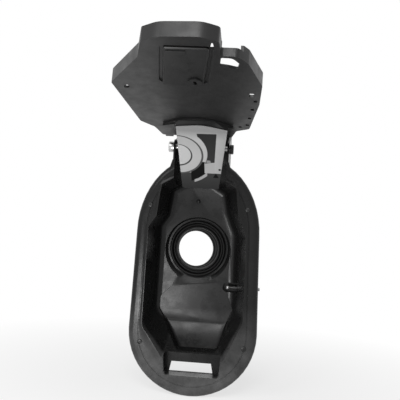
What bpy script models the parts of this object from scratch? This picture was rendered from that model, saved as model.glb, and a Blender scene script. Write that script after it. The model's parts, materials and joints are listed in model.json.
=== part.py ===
# Fuel filler flap: a moulded filler recess with its hinged flap carrier, shown open.
# X runs across the recess, Y runs back into the car, Z runs up.
# The origin lies on the flange's rear seat face, below the filler opening.
import bpy
import bmesh
from math import atan2, cos, pi, radians, sin, sqrt
from mathutils import Matrix, Vector

MM = 0.001
PART_NAME = "fuel_filler_flap"

# Running and seating clearances
SEAT_GAP = 0.3 * MM
PIN_CLEARANCE = 0.35 * MM

# Flange of the recess: a round lower end and a taller elliptic upper end
FLANGE_LOW_RADIUS = 75.5 * MM
FLANGE_LOW_CENTRE_Z = 62.0 * MM
FLANGE_TOP_HALF_WIDTH = 72.0 * MM
FLANGE_TOP_HEIGHT = 90.0 * MM
FLANGE_TOP_CENTRE_Z = 177.0 * MM
FLANGE_THICKNESS = 3.0 * MM
FLANGE_ROLL_WIDTH = 6.5 * MM
FLANGE_EDGE_THICKNESS = 0.9 * MM
GROOVE_INSET = 11.3 * MM
GROOVE_WIDTH = 1.4 * MM
GROOVE_DEPTH = 0.6 * MM
END_STEPS = 26

# Cavity of the recess
WALL = 2.5 * MM
FLOOR_DEPTH = 45.0 * MM
FLOOR_FILLET = 7.0 * MM
CORNER_STEPS = 4
WALL_STEPS = 4
CENTRE_X = -4.0 * MM
MOUTH_LEFT = -60.0 * MM
MOUTH_RIGHT = 57.0 * MM
MOUTH_UPPER_LEFT = -50.0 * MM
MOUTH_UPPER_RIGHT = 46.0 * MM
MOUTH_TOP_Z = 243.0 * MM
MOUTH_JOG_Z = 190.0 * MM
MOUTH_JOG_RISE = 12.0 * MM
MOUTH_TOP_RADIUS = 20.0 * MM
MOUTH_SIDE_END_Z = 75.0 * MM
MOUTH_BOTTOM_HALF = 35.5 * MM
MOUTH_BOTTOM_Z = 31.0 * MM
DRAFT_LEFT = 6.5 * MM
DRAFT_RIGHT = 13.0 * MM
DRAFT_TOP = 6.0 * MM
DRAFT_BOTTOM = 20.0 * MM

# Raised basin floor under the filler
BASIN_RISE = 4.0 * MM
BASIN_SLOPE_WIDTH = 3.5 * MM
BASIN_TOP_Z = 105.0 * MM
BASIN_TOP_HALF = 31.0 * MM
BASIN_SIDE_INSET = 3.0 * MM
BASIN_SIDE_TOP_Z = 89.0 * MM

# Latch recess and its slot at the foot of the cavity
LATCH_DEPTH = 14.0 * MM
LATCH_BOTTOM_Z = 12.5 * MM
LATCH_BOTTOM_HALF = 32.5 * MM
LATCH_TOP_Z = 38.0 * MM
LATCH_TOP_HALF = 34.0 * MM
SLOT_WIDTH = 50.0 * MM
SLOT_HEIGHT = 11.5 * MM
SLOT_SILL = 0.8 * MM

# Filler neck seat and its rubber grommet
NECK_X = -5.0 * MM
NECK_Z = 157.0 * MM
NECK_SEAT_RADIUS = 27.0 * MM
NECK_CLEAR_RADIUS = 21.5 * MM
GROMMET_RADIUS = 33.5 * MM
GROMMET_RISE = 5.0 * MM
GROMMET_DEPTH = 15.0 * MM
RUBBER_STEPS = 48

# Hinge: the pin lies across the top of the recess between two ears
HINGE_Y = 6.0 * MM
HINGE_Z = 277.5 * MM
OPEN_ANGLE = 102.5
EAR_OUTER_WIDTH = 70.0 * MM
EAR_THICKNESS = 4.0 * MM
EAR_RADIUS = 9.0 * MM
SWEEP_RADIUS = 48.5 * MM
HINGE_BOX_END_ANGLE = 28.0
HINGE_BOX_START_ANGLE = -122.0
PIN_RADIUS = 3.0 * MM
PIN_STEPS = 24
BUSH_RADIUS = 6.3 * MM
BUSH_LENGTH = 4.2 * MM
CAP_RADIUS = 5.6 * MM
CAP_LENGTH = 4.0 * MM

# Arm that carries the flap round the pin
ARM_WIDTH = 57.0 * MM
ARM_WALL = 3.0 * MM
ARM_LEAN = 28.0
ARM_FACE_OFFSET = 30.0 * MM
ARM_FACE_UP = 69.0 * MM
ARM_FACE_DOWN = 34.0 * MM
ARM_BOSS_RADIUS = 8.0 * MM
ARM_FOOT_START = 22.0 * MM
FACE_PLATE_THICKNESS = 1.0 * MM
FACE_PLATE_MARGIN = 0.6 * MM
FACE_PLATE_TAPER = 7.0 * MM

# Flap carrier: a shallow pan whose walls stand outwards, where the painted skin goes
PANEL_OFFSET = 11.0 * MM
PANEL_THICKNESS = 2.5 * MM
RIM_HEIGHT = 12.0 * MM
RIM_THICKNESS = 2.2 * MM
PANEL_END = 262.0 * MM
PANEL_START = 21.0 * MM
TAB_HALF = 32.0 * MM
TAB_BASE = 232.0 * MM
SIDE_HALF = 71.0 * MM
SIDE_TOP = 170.0 * MM
SIDE_LOW_HALF = 61.0 * MM
SIDE_LOW = 62.0 * MM
ROOT_HALF = 46.0 * MM
ROOT_LOW = 47.0 * MM
ROOT_END_HALF = 38.0 * MM
STRAP_S = 235.0 * MM
STRAP_END = 44.0 * MM
STRAP_HEIGHT = 8.0 * MM
RIGHT_SHOULDER = 53.0 * MM
RIGHT_SHOULDER_S = 220.0 * MM

# Lug at the carrier's hinge end
LUG_WIDTH = 9.0 * MM
LUG_LENGTH = 12.0 * MM
LUG_HEIGHT = 9.0 * MM

# Raised latch housing on the carrier's inner face
LATCH_BOX_START = 178.0 * MM
LATCH_BOX_LENGTH = 66.0 * MM
LATCH_BOX_LOW_HALF = 20.0 * MM
LATCH_BOX_HIGH_HALF = 19.0 * MM
LATCH_BOX_RISE = 5.0 * MM
LATCH_BOX_SLOPE = 1.5 * MM

# Small hardware
SCREW_HEAD_RADIUS = 2.8 * MM
SCREW_HEAD_HEIGHT = 1.1 * MM
SCREW_SHANK_RADIUS = 1.5 * MM
SCREW_SHANK_LENGTH = 7.0 * MM
SCREW_HALF_SPAN_TOP = 57.0 * MM
SCREW_TOP_Z = 208.0 * MM
SCREW_HALF_SPAN_LOW = 61.0 * MM
SCREW_LOW_Z = 48.0 * MM
CLIP_RADIUS = 2.4 * MM
CLIP_HEIGHT = 2.2 * MM
CLIP_Z = 215.0 * MM

# Lock pin in its niche in the right wall
LOCK_Y = 43.0 * MM
LOCK_Z = 111.0 * MM
LOCK_PIN_RADIUS = 3.6 * MM
LOCK_PIN_TIP_X = 35.0 * MM
LOCK_PIN_LENGTH = 42.0 * MM
LOCK_TRAVEL = 7.0 * MM
NICHE_LEFT_X = 30.0 * MM
NICHE_RIGHT_X = 53.0 * MM
NICHE_HALF_HEIGHT = 6.5 * MM
NICHE_FRONT_Y = 30.0 * MM
NICHE_DEPTH = 7.0 * MM
LOCK_BUSH_RADIUS = 6.0 * MM
LOCK_BUSH_LENGTH = 9.0 * MM

CUT_OVERRUN = 4.0 * MM


def clear_scene():
    for item in list(bpy.data.objects):
        bpy.data.objects.remove(item)


def make_collection(name):
    collection = bpy.data.collections.new(name)
    bpy.context.scene.collection.children.link(collection)
    return collection


def make_material(name, colour, roughness, metallic=0.0):
    material = bpy.data.materials.new(name)
    material.use_nodes = True
    shader = material.node_tree.nodes["Principled BSDF"]
    shader.inputs["Base Color"].default_value = (*colour, 1.0)
    shader.inputs["Roughness"].default_value = roughness
    shader.inputs["Metallic"].default_value = metallic
    material.diffuse_color = (*colour, 1.0)
    return material


def add_object(name, mesh, collection, material=None):
    item = bpy.data.objects.new(name, mesh)
    collection.objects.link(item)
    if material:
        mesh.materials.append(material)
    return item


def as_cutter(item):
    item.hide_render = True
    item.display_type = "WIRE"
    return item


def boolean(target, tool, operation):
    modifier = target.modifiers.new(tool.name, "BOOLEAN")
    modifier.operation = operation
    modifier.solver = "EXACT"
    modifier.object = tool


def mesh_from_bmesh(name, shape):
    bmesh.ops.recalc_face_normals(shape, faces=shape.faces)
    mesh = bpy.data.meshes.new(name)
    shape.to_mesh(mesh)
    shape.free()
    return mesh


# A round corner for each (u, v, radius), all with the same number of points
def round_corners(corners, steps=CORNER_STEPS):
    points = []
    count = len(corners)
    for index, (u, v, radius) in enumerate(corners):
        here = Vector((u, v))
        before = Vector(corners[index - 1][:2]) - here
        after = Vector(corners[(index + 1) % count][:2]) - here
        half = before.angle(after) / 2
        reach = min(radius / max(sin(half) / cos(half), 1e-6), 0.49 * before.length, 0.49 * after.length)
        true_radius = reach * sin(half) / cos(half)
        start = here + before.normalized() * reach
        end = here + after.normalized() * reach
        middle = (before.normalized() + after.normalized()).normalized()
        centre = here + middle * sqrt(reach * reach + true_radius * true_radius)
        first = atan2(start.y - centre.y, start.x - centre.x)
        last = atan2(end.y - centre.y, end.x - centre.x)
        turn = (last - first + pi) % (2 * pi) - pi
        for step in range(steps + 1):
            angle = first + turn * step / steps
            points.append((centre.x + true_radius * cos(angle), centre.y + true_radius * sin(angle)))
    return points


# Moves every edge of a counter-clockwise outline outwards by one distance
def grow_corners(corners, distance):
    grown = []
    count = len(corners)
    for index, (u, v, radius) in enumerate(corners):
        here = Vector((u, v))
        into = (here - Vector(corners[index - 1][:2])).normalized()
        away = (Vector(corners[(index + 1) % count][:2]) - here).normalized()
        normal_in = Vector((into.y, -into.x))
        normal_out = Vector((away.y, -away.x))
        bisector = (normal_in + normal_out).normalized()
        moved = here + bisector * distance / max(bisector.dot(normal_in), 0.2)
        turn = into.x * away.y - into.y * away.x
        new_radius = max(radius + (distance if turn > 0 else -distance), 0.3 * MM)
        grown.append((moved.x, moved.y, new_radius))
    return grown


def blend_corners(first, second, share):
    return [tuple(a + (b - a) * share for a, b in zip(p, q)) for p, q in zip(first, second)]


# Skins a stack of like rings of 3-D points and closes both ends
def loft(name, rings, collection, material=None):
    shape = bmesh.new()
    loops = [[shape.verts.new(point) for point in ring] for ring in rings]
    count = len(loops[0])
    for lower, upper in zip(loops[:-1], loops[1:]):
        for index in range(count):
            following = (index + 1) % count
            shape.faces.new((lower[index], lower[following], upper[following], upper[index]))
    shape.faces.new(loops[0])
    shape.faces.new(loops[-1])
    return add_object(name, mesh_from_bmesh(name, shape), collection, material)


def ring_at(points, y):
    return [(u, y, v) for u, v in points]


# A flat outline in XZ, filled and given a thickness from front to back
def plate_xz(name, points, front, back, collection, material=None):
    return loft(name, [ring_at(points, front), ring_at(points, back)], collection, material)


# A side profile of (y, z) points, given a width along X
def plate_yz(name, points, left, right, collection, material=None):
    rings = [[(x, y, z) for y, z in points] for x in (left, right)]
    return loft(name, rings, collection, material)


def box(name, low, high, collection, material=None):
    shape = bmesh.new()
    bmesh.ops.create_cube(shape, size=1.0)
    size = Vector(high) - Vector(low)
    middle = (Vector(high) + Vector(low)) / 2
    bmesh.ops.scale(shape, vec=size, verts=shape.verts)
    bmesh.ops.translate(shape, vec=middle, verts=shape.verts)
    return add_object(name, mesh_from_bmesh(name, shape), collection, material)


def cylinder_x(name, radius, left, right, y, z, collection, material=None, steps=PIN_STEPS):
    shape = bmesh.new()
    place = Matrix.Translation(((left + right) / 2, y, z)) @ Matrix.Rotation(pi / 2, 4, "Y")
    bmesh.ops.create_cone(shape, cap_ends=True, segments=steps, radius1=radius, radius2=radius,
                          depth=right - left, matrix=place)
    return add_object(name, mesh_from_bmesh(name, shape), collection, material)


def cylinder_y(name, radius, front, back, x, z, collection, material=None, steps=PIN_STEPS):
    shape = bmesh.new()
    place = Matrix.Translation((x, (front + back) / 2, z)) @ Matrix.Rotation(pi / 2, 4, "X")
    bmesh.ops.create_cone(shape, cap_ends=True, segments=steps, radius1=radius, radius2=radius,
                          depth=back - front, matrix=place)
    return add_object(name, mesh_from_bmesh(name, shape), collection, material)


# Turns a closed or axis-to-axis profile of (radius, height) about the local Z axis
def turned(name, profile, steps, collection, material, closed=True):
    following = profile[1:] + profile[:1]
    if sum(r * h2 - r2 * h for (r, h), (r2, h2) in zip(profile, following)) > 0:
        profile = profile[::-1]
    shape = bmesh.new()
    points = [shape.verts.new((radius, 0, height)) for radius, height in profile]
    for first, second in zip(points[:-1], points[1:]):
        shape.edges.new((first, second))
    if closed:
        shape.edges.new((points[-1], points[0]))
    mesh = bpy.data.meshes.new(name)
    shape.to_mesh(mesh)
    shape.free()
    item = add_object(name, mesh, collection, material)
    screw = item.modifiers.new("turn", "SCREW")
    screw.axis = "Z"
    screw.steps = steps
    screw.render_steps = steps
    screw.use_merge_vertices = True
    screw.merge_threshold = 0.00001
    return item


# Outline of the flange, drawn in from its edge by an inset
def flange_outline(inset):
    low = FLANGE_LOW_RADIUS - inset
    half = FLANGE_TOP_HALF_WIDTH - inset
    rise = FLANGE_TOP_HEIGHT - inset
    points = []
    for step in range(END_STEPS + 1):
        angle = pi + pi * step / END_STEPS
        points.append((low * cos(angle), FLANGE_LOW_CENTRE_Z + low * sin(angle)))
    for step in range(END_STEPS + 1):
        angle = pi * step / END_STEPS
        points.append((half * cos(angle), FLANGE_TOP_CENTRE_Z + rise * sin(angle)))
    return points


def mouth_corners():
    upper = MOUTH_JOG_Z + MOUTH_JOG_RISE / 2
    lower = MOUTH_JOG_Z - MOUTH_JOG_RISE / 2
    return [
        (-MOUTH_BOTTOM_HALF, MOUTH_BOTTOM_Z, 5 * MM),
        (MOUTH_BOTTOM_HALF, MOUTH_BOTTOM_Z, 5 * MM),
        (MOUTH_RIGHT, MOUTH_SIDE_END_Z, 16 * MM),
        (MOUTH_RIGHT - 2 * MM, lower, 5 * MM),
        (MOUTH_UPPER_RIGHT, upper, 5 * MM),
        (MOUTH_UPPER_RIGHT - 5 * MM, MOUTH_TOP_Z, MOUTH_TOP_RADIUS),
        (MOUTH_UPPER_LEFT + 3 * MM, MOUTH_TOP_Z, MOUTH_TOP_RADIUS),
        (MOUTH_UPPER_LEFT, upper, 5 * MM),
        (MOUTH_LEFT + 1.5 * MM, lower, 5 * MM),
        (MOUTH_LEFT, MOUTH_SIDE_END_Z, 16 * MM),
    ]


def floor_corners():
    corners = []
    for u, v, radius in mouth_corners():
        shift_u = DRAFT_LEFT if u < CENTRE_X else -DRAFT_RIGHT
        shift_v = -DRAFT_TOP if v > MOUTH_JOG_Z + MOUTH_JOG_RISE else 0.0
        if v < MOUTH_SIDE_END_Z - 1 * MM:
            shift_v = DRAFT_BOTTOM
        corners.append((u + shift_u, v + shift_v, radius + 2 * MM))
    return corners


# The cavity as a stack of rings; a positive growth gives the outside of its wall
def cavity_rings(growth, front):
    mouth = mouth_corners()
    floor = floor_corners()
    bottom = FLOOR_DEPTH + growth
    start = -FLANGE_THICKNESS
    rings = []
    fillet = FLOOR_FILLET + growth
    for step in range(WALL_STEPS):
        y = front + (bottom - fillet - front) * step / WALL_STEPS
        share = (y - start) / (FLOOR_DEPTH - start)
        level = grow_corners(blend_corners(mouth, floor, share), growth)
        rings.append(ring_at(round_corners(level), y))
    for step in range(4):
        angle = pi / 2 * step / 3
        y = bottom - fillet + fillet * sin(angle)
        inset = fillet * (1 - cos(angle))
        share = (y - start) / (FLOOR_DEPTH - start)
        level = grow_corners(blend_corners(mouth, floor, share), growth - inset)
        rings.append(ring_at(round_corners(level), y))
    return rings


def latch_corners(growth):
    corners = [
        (-LATCH_BOTTOM_HALF + 1 * MM, LATCH_BOTTOM_Z, 3 * MM),
        (LATCH_BOTTOM_HALF + 1 * MM, LATCH_BOTTOM_Z, 3 * MM),
        (MOUTH_BOTTOM_HALF, MOUTH_BOTTOM_Z, 3 * MM),
        (LATCH_TOP_HALF, LATCH_TOP_Z, 2 * MM),
        (-LATCH_TOP_HALF, LATCH_TOP_Z, 2 * MM),
        (-MOUTH_BOTTOM_HALF, MOUTH_BOTTOM_Z, 3 * MM),
    ]
    return grow_corners(corners, growth)


def basin_corners(growth):
    floor = floor_corners()
    left_side = floor[9][0] + BASIN_SIDE_INSET
    right_side = floor[2][0] - BASIN_SIDE_INSET
    corners = [
        (floor[0][0] + 4 * MM, floor[0][1] + 2 * MM, 3 * MM),
        (floor[1][0] - 4 * MM, floor[1][1] + 2 * MM, 3 * MM),
        (right_side, MOUTH_SIDE_END_Z + 2 * MM, 8 * MM),
        (right_side, BASIN_SIDE_TOP_Z, 6 * MM),
        (CENTRE_X + BASIN_TOP_HALF, BASIN_TOP_Z, 5 * MM),
        (CENTRE_X - BASIN_TOP_HALF, BASIN_TOP_Z, 5 * MM),
        (left_side, BASIN_SIDE_TOP_Z, 6 * MM),
        (left_side, MOUTH_SIDE_END_Z + 2 * MM, 8 * MM),
    ]
    return grow_corners(corners, growth)


def hinge_box_profile(radius, start_angle, end_angle, steps=18):
    points = []
    for step in range(steps + 1):
        angle = radians(start_angle + (end_angle - start_angle) * step / steps)
        points.append((HINGE_Y + radius * cos(angle), HINGE_Z + radius * sin(angle)))
    return points


def flange_solid(parts, material):
    front = -FLANGE_THICKNESS
    groove = GROOVE_INSET + GROOVE_WIDTH
    levels = [(0.0, 0.0), (0.0, -FLANGE_EDGE_THICKNESS)]
    for step in range(1, 5):
        angle = pi / 2 * step / 4
        drop = (FLANGE_THICKNESS - FLANGE_EDGE_THICKNESS) * (1 - sin(angle))
        levels.append((FLANGE_ROLL_WIDTH * (1 - cos(angle)), front + drop))
    levels += [(GROOVE_INSET, front), (GROOVE_INSET + GROOVE_WIDTH / 4, front + GROOVE_DEPTH)]
    levels += [(groove - GROOVE_WIDTH / 4, front + GROOVE_DEPTH), (groove, front)]
    rings = [ring_at(flange_outline(inset), y) for inset, y in levels]
    return loft("housing_tray", rings, parts, material)


def hinge_box_outer(cutters):
    outer = SWEEP_RADIUS + WALL
    points = hinge_box_profile(outer, HINGE_BOX_START_ANGLE, HINGE_BOX_END_ANGLE)
    ear = []
    for step in range(9):
        angle = radians(60 + 120 * step / 8)
        ear.append((HINGE_Y + EAR_RADIUS * cos(angle), HINGE_Z + EAR_RADIUS * sin(angle)))
    foot = [(-FLANGE_THICKNESS + 0.4 * MM, HINGE_Z - 2 * EAR_RADIUS)]
    foot.append((-FLANGE_THICKNESS + 0.4 * MM, HINGE_Z - SWEEP_RADIUS))
    front_points = [(y, z) for y, z in points if y > -FLANGE_THICKNESS + 1 * MM]
    left = CENTRE_X - EAR_OUTER_WIDTH / 2
    right = CENTRE_X + EAR_OUTER_WIDTH / 2
    return as_cutter(plate_yz("hinge_box_outer", front_points + ear + foot, left, right, cutters))


def housing_tray(parts, cutters, material):
    tray = flange_solid(parts, material)
    body = as_cutter(loft("cavity_outer", cavity_rings(WALL, -FLANGE_THICKNESS / 2), cutters))
    boolean(tray, body, "UNION")
    latch_body = plate_xz("latch_outer", round_corners(latch_corners(WALL)), -FLANGE_THICKNESS / 2,
                          LATCH_DEPTH + WALL, cutters)
    boolean(tray, as_cutter(latch_body), "UNION")
    boolean(tray, hinge_box_outer(cutters), "UNION")
    niche_back = FLOOR_DEPTH + NICHE_DEPTH
    niche_low = (NICHE_LEFT_X - WALL, NICHE_FRONT_Y - WALL, LOCK_Z - NICHE_HALF_HEIGHT - WALL)
    niche_high = (NICHE_RIGHT_X + WALL, niche_back + WALL, LOCK_Z + NICHE_HALF_HEIGHT + WALL)
    boolean(tray, as_cutter(box("niche_outer", niche_low, niche_high, cutters)), "UNION")
    cavity = as_cutter(loft("cavity_inner", cavity_rings(0.0, -FLANGE_THICKNESS - CUT_OVERRUN), cutters))
    boolean(tray, cavity, "DIFFERENCE")
    latch = plate_xz("latch_inner", round_corners(latch_corners(0.0)), -FLANGE_THICKNESS - CUT_OVERRUN,
                     LATCH_DEPTH, cutters)
    boolean(tray, as_cutter(latch), "DIFFERENCE")
    basin_top = round_corners(basin_corners(-BASIN_SLOPE_WIDTH))
    basin_foot = round_corners(basin_corners(0.0))
    rings = [ring_at(basin_foot, FLOOR_DEPTH + WALL / 2), ring_at(basin_foot, FLOOR_DEPTH)]
    rings.append(ring_at(basin_top, FLOOR_DEPTH - BASIN_RISE))
    boolean(tray, as_cutter(loft("basin_raise", rings, cutters)), "UNION")
    core = round_corners(basin_corners(-BASIN_SLOPE_WIDTH - FLOOR_FILLET))
    core_cut = plate_xz("basin_core", core, FLOOR_DEPTH - BASIN_RISE + WALL, FLOOR_DEPTH + 3 * WALL, cutters)
    boolean(tray, as_cutter(core_cut), "DIFFERENCE")
    niche_low = (NICHE_LEFT_X, NICHE_FRONT_Y, LOCK_Z - NICHE_HALF_HEIGHT)
    niche_high = (NICHE_RIGHT_X, niche_back, LOCK_Z + NICHE_HALF_HEIGHT)
    boolean(tray, as_cutter(box("niche_inner", niche_low, niche_high, cutters)), "DIFFERENCE")
    half = EAR_OUTER_WIDTH / 2 - EAR_THICKNESS
    sweep = cylinder_x("arm_sweep", SWEEP_RADIUS, CENTRE_X - half, CENTRE_X + half, HINGE_Y, HINGE_Z,
                       cutters, steps=72)
    boolean(tray, as_cutter(sweep), "DIFFERENCE")
    slot_low = (CENTRE_X - SLOT_WIDTH / 2, 0.0, LATCH_BOTTOM_Z + SLOT_SILL)
    slot_high = (CENTRE_X + SLOT_WIDTH / 2, LATCH_DEPTH + 2 * WALL, LATCH_BOTTOM_Z + SLOT_SILL + SLOT_HEIGHT)
    boolean(tray, as_cutter(box("latch_slot", slot_low, slot_high, cutters)), "DIFFERENCE")
    neck = cylinder_y("neck_bore", NECK_SEAT_RADIUS, FLOOR_DEPTH - 2 * WALL, FLOOR_DEPTH + 3 * WALL,
                      NECK_X, NECK_Z, cutters, steps=RUBBER_STEPS)
    boolean(tray, as_cutter(neck), "DIFFERENCE")
    pin_bore = cylinder_x("hinge_pin_bore", PIN_RADIUS + PIN_CLEARANCE, CENTRE_X - EAR_OUTER_WIDTH,
                          CENTRE_X + EAR_OUTER_WIDTH, HINGE_Y, HINGE_Z, cutters)
    boolean(tray, as_cutter(pin_bore), "DIFFERENCE")
    lock_bore = cylinder_x("lock_bore", LOCK_BUSH_RADIUS - 1.2 * MM + SEAT_GAP, NICHE_RIGHT_X - CUT_OVERRUN,
                           NICHE_RIGHT_X + 2 * CUT_OVERRUN, LOCK_Y, LOCK_Z, cutters)
    boolean(tray, as_cutter(lock_bore), "DIFFERENCE")
    for index, (x, z) in enumerate(screw_places(), 1):
        bore = cylinder_y(f"screw_bore_{index}", SCREW_SHANK_RADIUS + SEAT_GAP, -FLANGE_THICKNESS - CUT_OVERRUN,
                          CUT_OVERRUN, x, z, cutters, steps=16)
        boolean(tray, as_cutter(bore), "DIFFERENCE")
    clip = cylinder_y("clip_bore", CLIP_RADIUS / 2 + SEAT_GAP, FLOOR_DEPTH - CUT_OVERRUN,
                      FLOOR_DEPTH + 2 * CUT_OVERRUN, CENTRE_X, CLIP_Z, cutters, steps=16)
    boolean(tray, as_cutter(clip), "DIFFERENCE")
    return tray


def screw_places():
    top = [(-SCREW_HALF_SPAN_TOP, SCREW_TOP_Z), (SCREW_HALF_SPAN_TOP, SCREW_TOP_Z)]
    low = [(-SCREW_HALF_SPAN_LOW, SCREW_LOW_Z), (SCREW_HALF_SPAN_LOW, SCREW_LOW_Z)]
    return top + low


# The profile's height runs back into the car from the floor's front face
def neck_grommet(parts, material):
    groove_radius = NECK_SEAT_RADIUS - SEAT_GAP
    rear = WALL + SEAT_GAP
    lip = NECK_CLEAR_RADIUS
    profile = [
        (groove_radius, -SEAT_GAP),
        (GROMMET_RADIUS, -SEAT_GAP),
        (GROMMET_RADIUS, -GROMMET_RISE * 0.6),
        (GROMMET_RADIUS - 1.2 * MM, -GROMMET_RISE),
        (GROMMET_RADIUS - 3.2 * MM, -GROMMET_RISE),
        (GROMMET_RADIUS - 4.6 * MM, -GROMMET_RISE * 0.2),
        (GROMMET_RADIUS - 6.6 * MM, -GROMMET_RISE * 0.2),
        (GROMMET_RADIUS - 7.6 * MM, -GROMMET_RISE * 0.7),
        (GROMMET_RADIUS - 9.0 * MM, -GROMMET_RISE * 0.7),
        (lip + 2.4 * MM, GROMMET_DEPTH * 0.25),
        (lip + 0.6 * MM, GROMMET_DEPTH * 0.75),
        (lip, GROMMET_DEPTH * 0.88),
        (lip, GROMMET_DEPTH),
        (lip + 2.0 * MM, GROMMET_DEPTH),
        (lip + 4.0 * MM, GROMMET_DEPTH * 0.5),
        (groove_radius + 2.6 * MM, rear + 1.6 * MM),
        (groove_radius + 2.6 * MM, rear),
        (groove_radius, rear),
    ]
    item = turned("neck_grommet", profile, RUBBER_STEPS, parts, material)
    item.location = (NECK_X, FLOOR_DEPTH, NECK_Z)
    item.rotation_euler = (-pi / 2, 0, 0)
    return item


def housing_screws(parts, material):
    for index, (x, z) in enumerate(screw_places(), 1):
        top = SCREW_HEAD_HEIGHT
        profile = [(0.0, top), (SCREW_HEAD_RADIUS * 0.7, top), (SCREW_HEAD_RADIUS, top * 0.4)]
        profile += [(SCREW_HEAD_RADIUS, 0.0), (SCREW_SHANK_RADIUS, 0.0)]
        profile += [(SCREW_SHANK_RADIUS, -SCREW_SHANK_LENGTH), (0.0, -SCREW_SHANK_LENGTH - SCREW_SHANK_RADIUS)]
        item = turned(f"housing_screw_{index}", profile, 16, parts, material, closed=False)
        item.location = (x, -FLANGE_THICKNESS - SEAT_GAP, z)
        item.rotation_euler = (pi / 2, 0, 0)


def floor_clip(parts, material):
    stem = CLIP_RADIUS / 2
    profile = [(0.0, CLIP_HEIGHT), (CLIP_RADIUS * 0.6, CLIP_HEIGHT * 0.85), (CLIP_RADIUS, CLIP_HEIGHT * 0.4)]
    profile += [(CLIP_RADIUS, 0.0), (stem, 0.0), (stem, -2 * WALL), (0.0, -2 * WALL - stem)]
    item = turned("floor_clip", profile, 16, parts, material, closed=False)
    item.location = (CENTRE_X, FLOOR_DEPTH - SEAT_GAP, CLIP_Z)
    item.rotation_euler = (pi / 2, 0, 0)


def hinge_hardware(parts, steel, black):
    left = CENTRE_X - EAR_OUTER_WIDTH / 2
    right = CENTRE_X + EAR_OUTER_WIDTH / 2
    cylinder_x("hinge_pin", PIN_RADIUS, left - BUSH_LENGTH - SEAT_GAP, right + CAP_LENGTH * 0.7,
               HINGE_Y, HINGE_Z, parts, steel)
    bore = PIN_RADIUS + SEAT_GAP
    edge = 0.6 * MM
    profile = [(bore, 0.0), (BUSH_RADIUS, 0.0), (BUSH_RADIUS, BUSH_LENGTH - edge)]
    profile += [(BUSH_RADIUS - edge, BUSH_LENGTH), (bore, BUSH_LENGTH)]
    bush = turned("pin_bush", profile, PIN_STEPS, parts, steel)
    bush.location = (left - SEAT_GAP, HINGE_Y, HINGE_Z)
    bush.rotation_euler = (0, -pi / 2, 0)
    depth = CAP_LENGTH * 0.7 + SEAT_GAP
    profile = [(bore, 0.0), (CAP_RADIUS, 0.0), (CAP_RADIUS, CAP_LENGTH), (CAP_RADIUS - edge, CAP_LENGTH + edge)]
    profile += [(0.0, CAP_LENGTH + edge), (0.0, depth), (bore, depth)]
    cap = turned("pin_cap", profile, PIN_STEPS, parts, black)
    cap.location = (right + SEAT_GAP, HINGE_Y, HINGE_Z)
    cap.rotation_euler = (0, pi / 2, 0)


def lock_hardware(parts, steel, black):
    bore = LOCK_PIN_RADIUS + PIN_CLEARANCE
    sleeve = LOCK_BUSH_RADIUS - 1.2 * MM
    wall_back = WALL + SEAT_GAP
    profile = [(bore, -SEAT_GAP - 1.2 * MM), (LOCK_BUSH_RADIUS, -SEAT_GAP - 1.2 * MM)]
    profile += [(LOCK_BUSH_RADIUS, -SEAT_GAP), (sleeve, -SEAT_GAP), (sleeve, LOCK_BUSH_LENGTH + wall_back)]
    profile += [(bore, LOCK_BUSH_LENGTH + wall_back)]
    bush = turned("lock_bush", profile, PIN_STEPS, parts, black)
    bush.location = (NICHE_RIGHT_X, LOCK_Y, LOCK_Z)
    bush.rotation_euler = (0, pi / 2, 0)
    tip = 2.0 * MM
    profile = [(0.0, 0.0), (LOCK_PIN_RADIUS * 0.7, 0.4 * MM), (LOCK_PIN_RADIUS, tip)]
    profile += [(LOCK_PIN_RADIUS, LOCK_PIN_LENGTH), (0.0, LOCK_PIN_LENGTH)]
    pin = turned("lock_pin", profile, PIN_STEPS, parts, steel, closed=False)
    pin.location = (LOCK_PIN_TIP_X, LOCK_Y, LOCK_Z)
    pin.rotation_euler = (0, pi / 2, 0)


# Flap pieces are drawn closed and hanging from the pin: local Z is minus the
# distance from the pin, local Y is minus the distance outwards
def arm_line(along, inward):
    lean = radians(ARM_LEAN)
    foot = Vector((ARM_FACE_OFFSET * cos(lean), -ARM_FACE_OFFSET * sin(lean)))
    down = Vector((-sin(lean), -cos(lean)))
    normal = Vector((-cos(lean), sin(lean)))
    point = foot + down * along + normal * inward
    return (point.x, point.y)


def hinge_arm(parts, cutters, material, pivot):
    tail = arm_line(-ARM_FACE_DOWN, 0.0)
    lean = radians(ARM_LEAN)
    plane_y = -PANEL_OFFSET + SEAT_GAP
    foot_along = (ARM_FACE_OFFSET * cos(lean) - plane_y) / sin(lean)
    foot_end = arm_line(foot_along, 0.0)
    tail_back = arm_line(-ARM_FACE_DOWN, 8 * MM)
    boss = []
    for step in range(7):
        angle = radians(75 + 135 * step / 6)
        boss.append((ARM_BOSS_RADIUS * cos(angle), ARM_BOSS_RADIUS * sin(angle)))
    outline = [foot_end, tail, tail_back] + boss + [(plane_y, -ARM_FOOT_START)]
    half = ARM_WIDTH / 2
    arm = plate_yz("hinge_arm", outline, CENTRE_X - half, CENTRE_X + half, parts, material)
    inner_half = half - ARM_WALL
    inner_foot = arm_line(foot_along - 4 * ARM_WALL, ARM_WALL)
    hollow = [inner_foot, arm_line(-2 * ARM_FACE_DOWN, ARM_WALL), (-60 * MM, 60 * MM)]
    hollow.append((plane_y + ARM_WALL, -ARM_FOOT_START + 8 * MM))
    hollow.append((plane_y + ARM_WALL, inner_foot[1] + 4 * ARM_WALL))
    core = plate_yz("arm_hollow", hollow, CENTRE_X - inner_half, CENTRE_X + inner_half, cutters)
    boolean(arm, as_cutter(core), "DIFFERENCE")
    bore = cylinder_x("arm_bore", PIN_RADIUS + PIN_CLEARANCE, CENTRE_X - ARM_WIDTH, CENTRE_X + ARM_WIDTH,
                      0.0, 0.0, cutters)
    boolean(arm, as_cutter(bore), "DIFFERENCE")
    for item in (arm, core, bore):
        item.parent = pivot
    return arm


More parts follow.
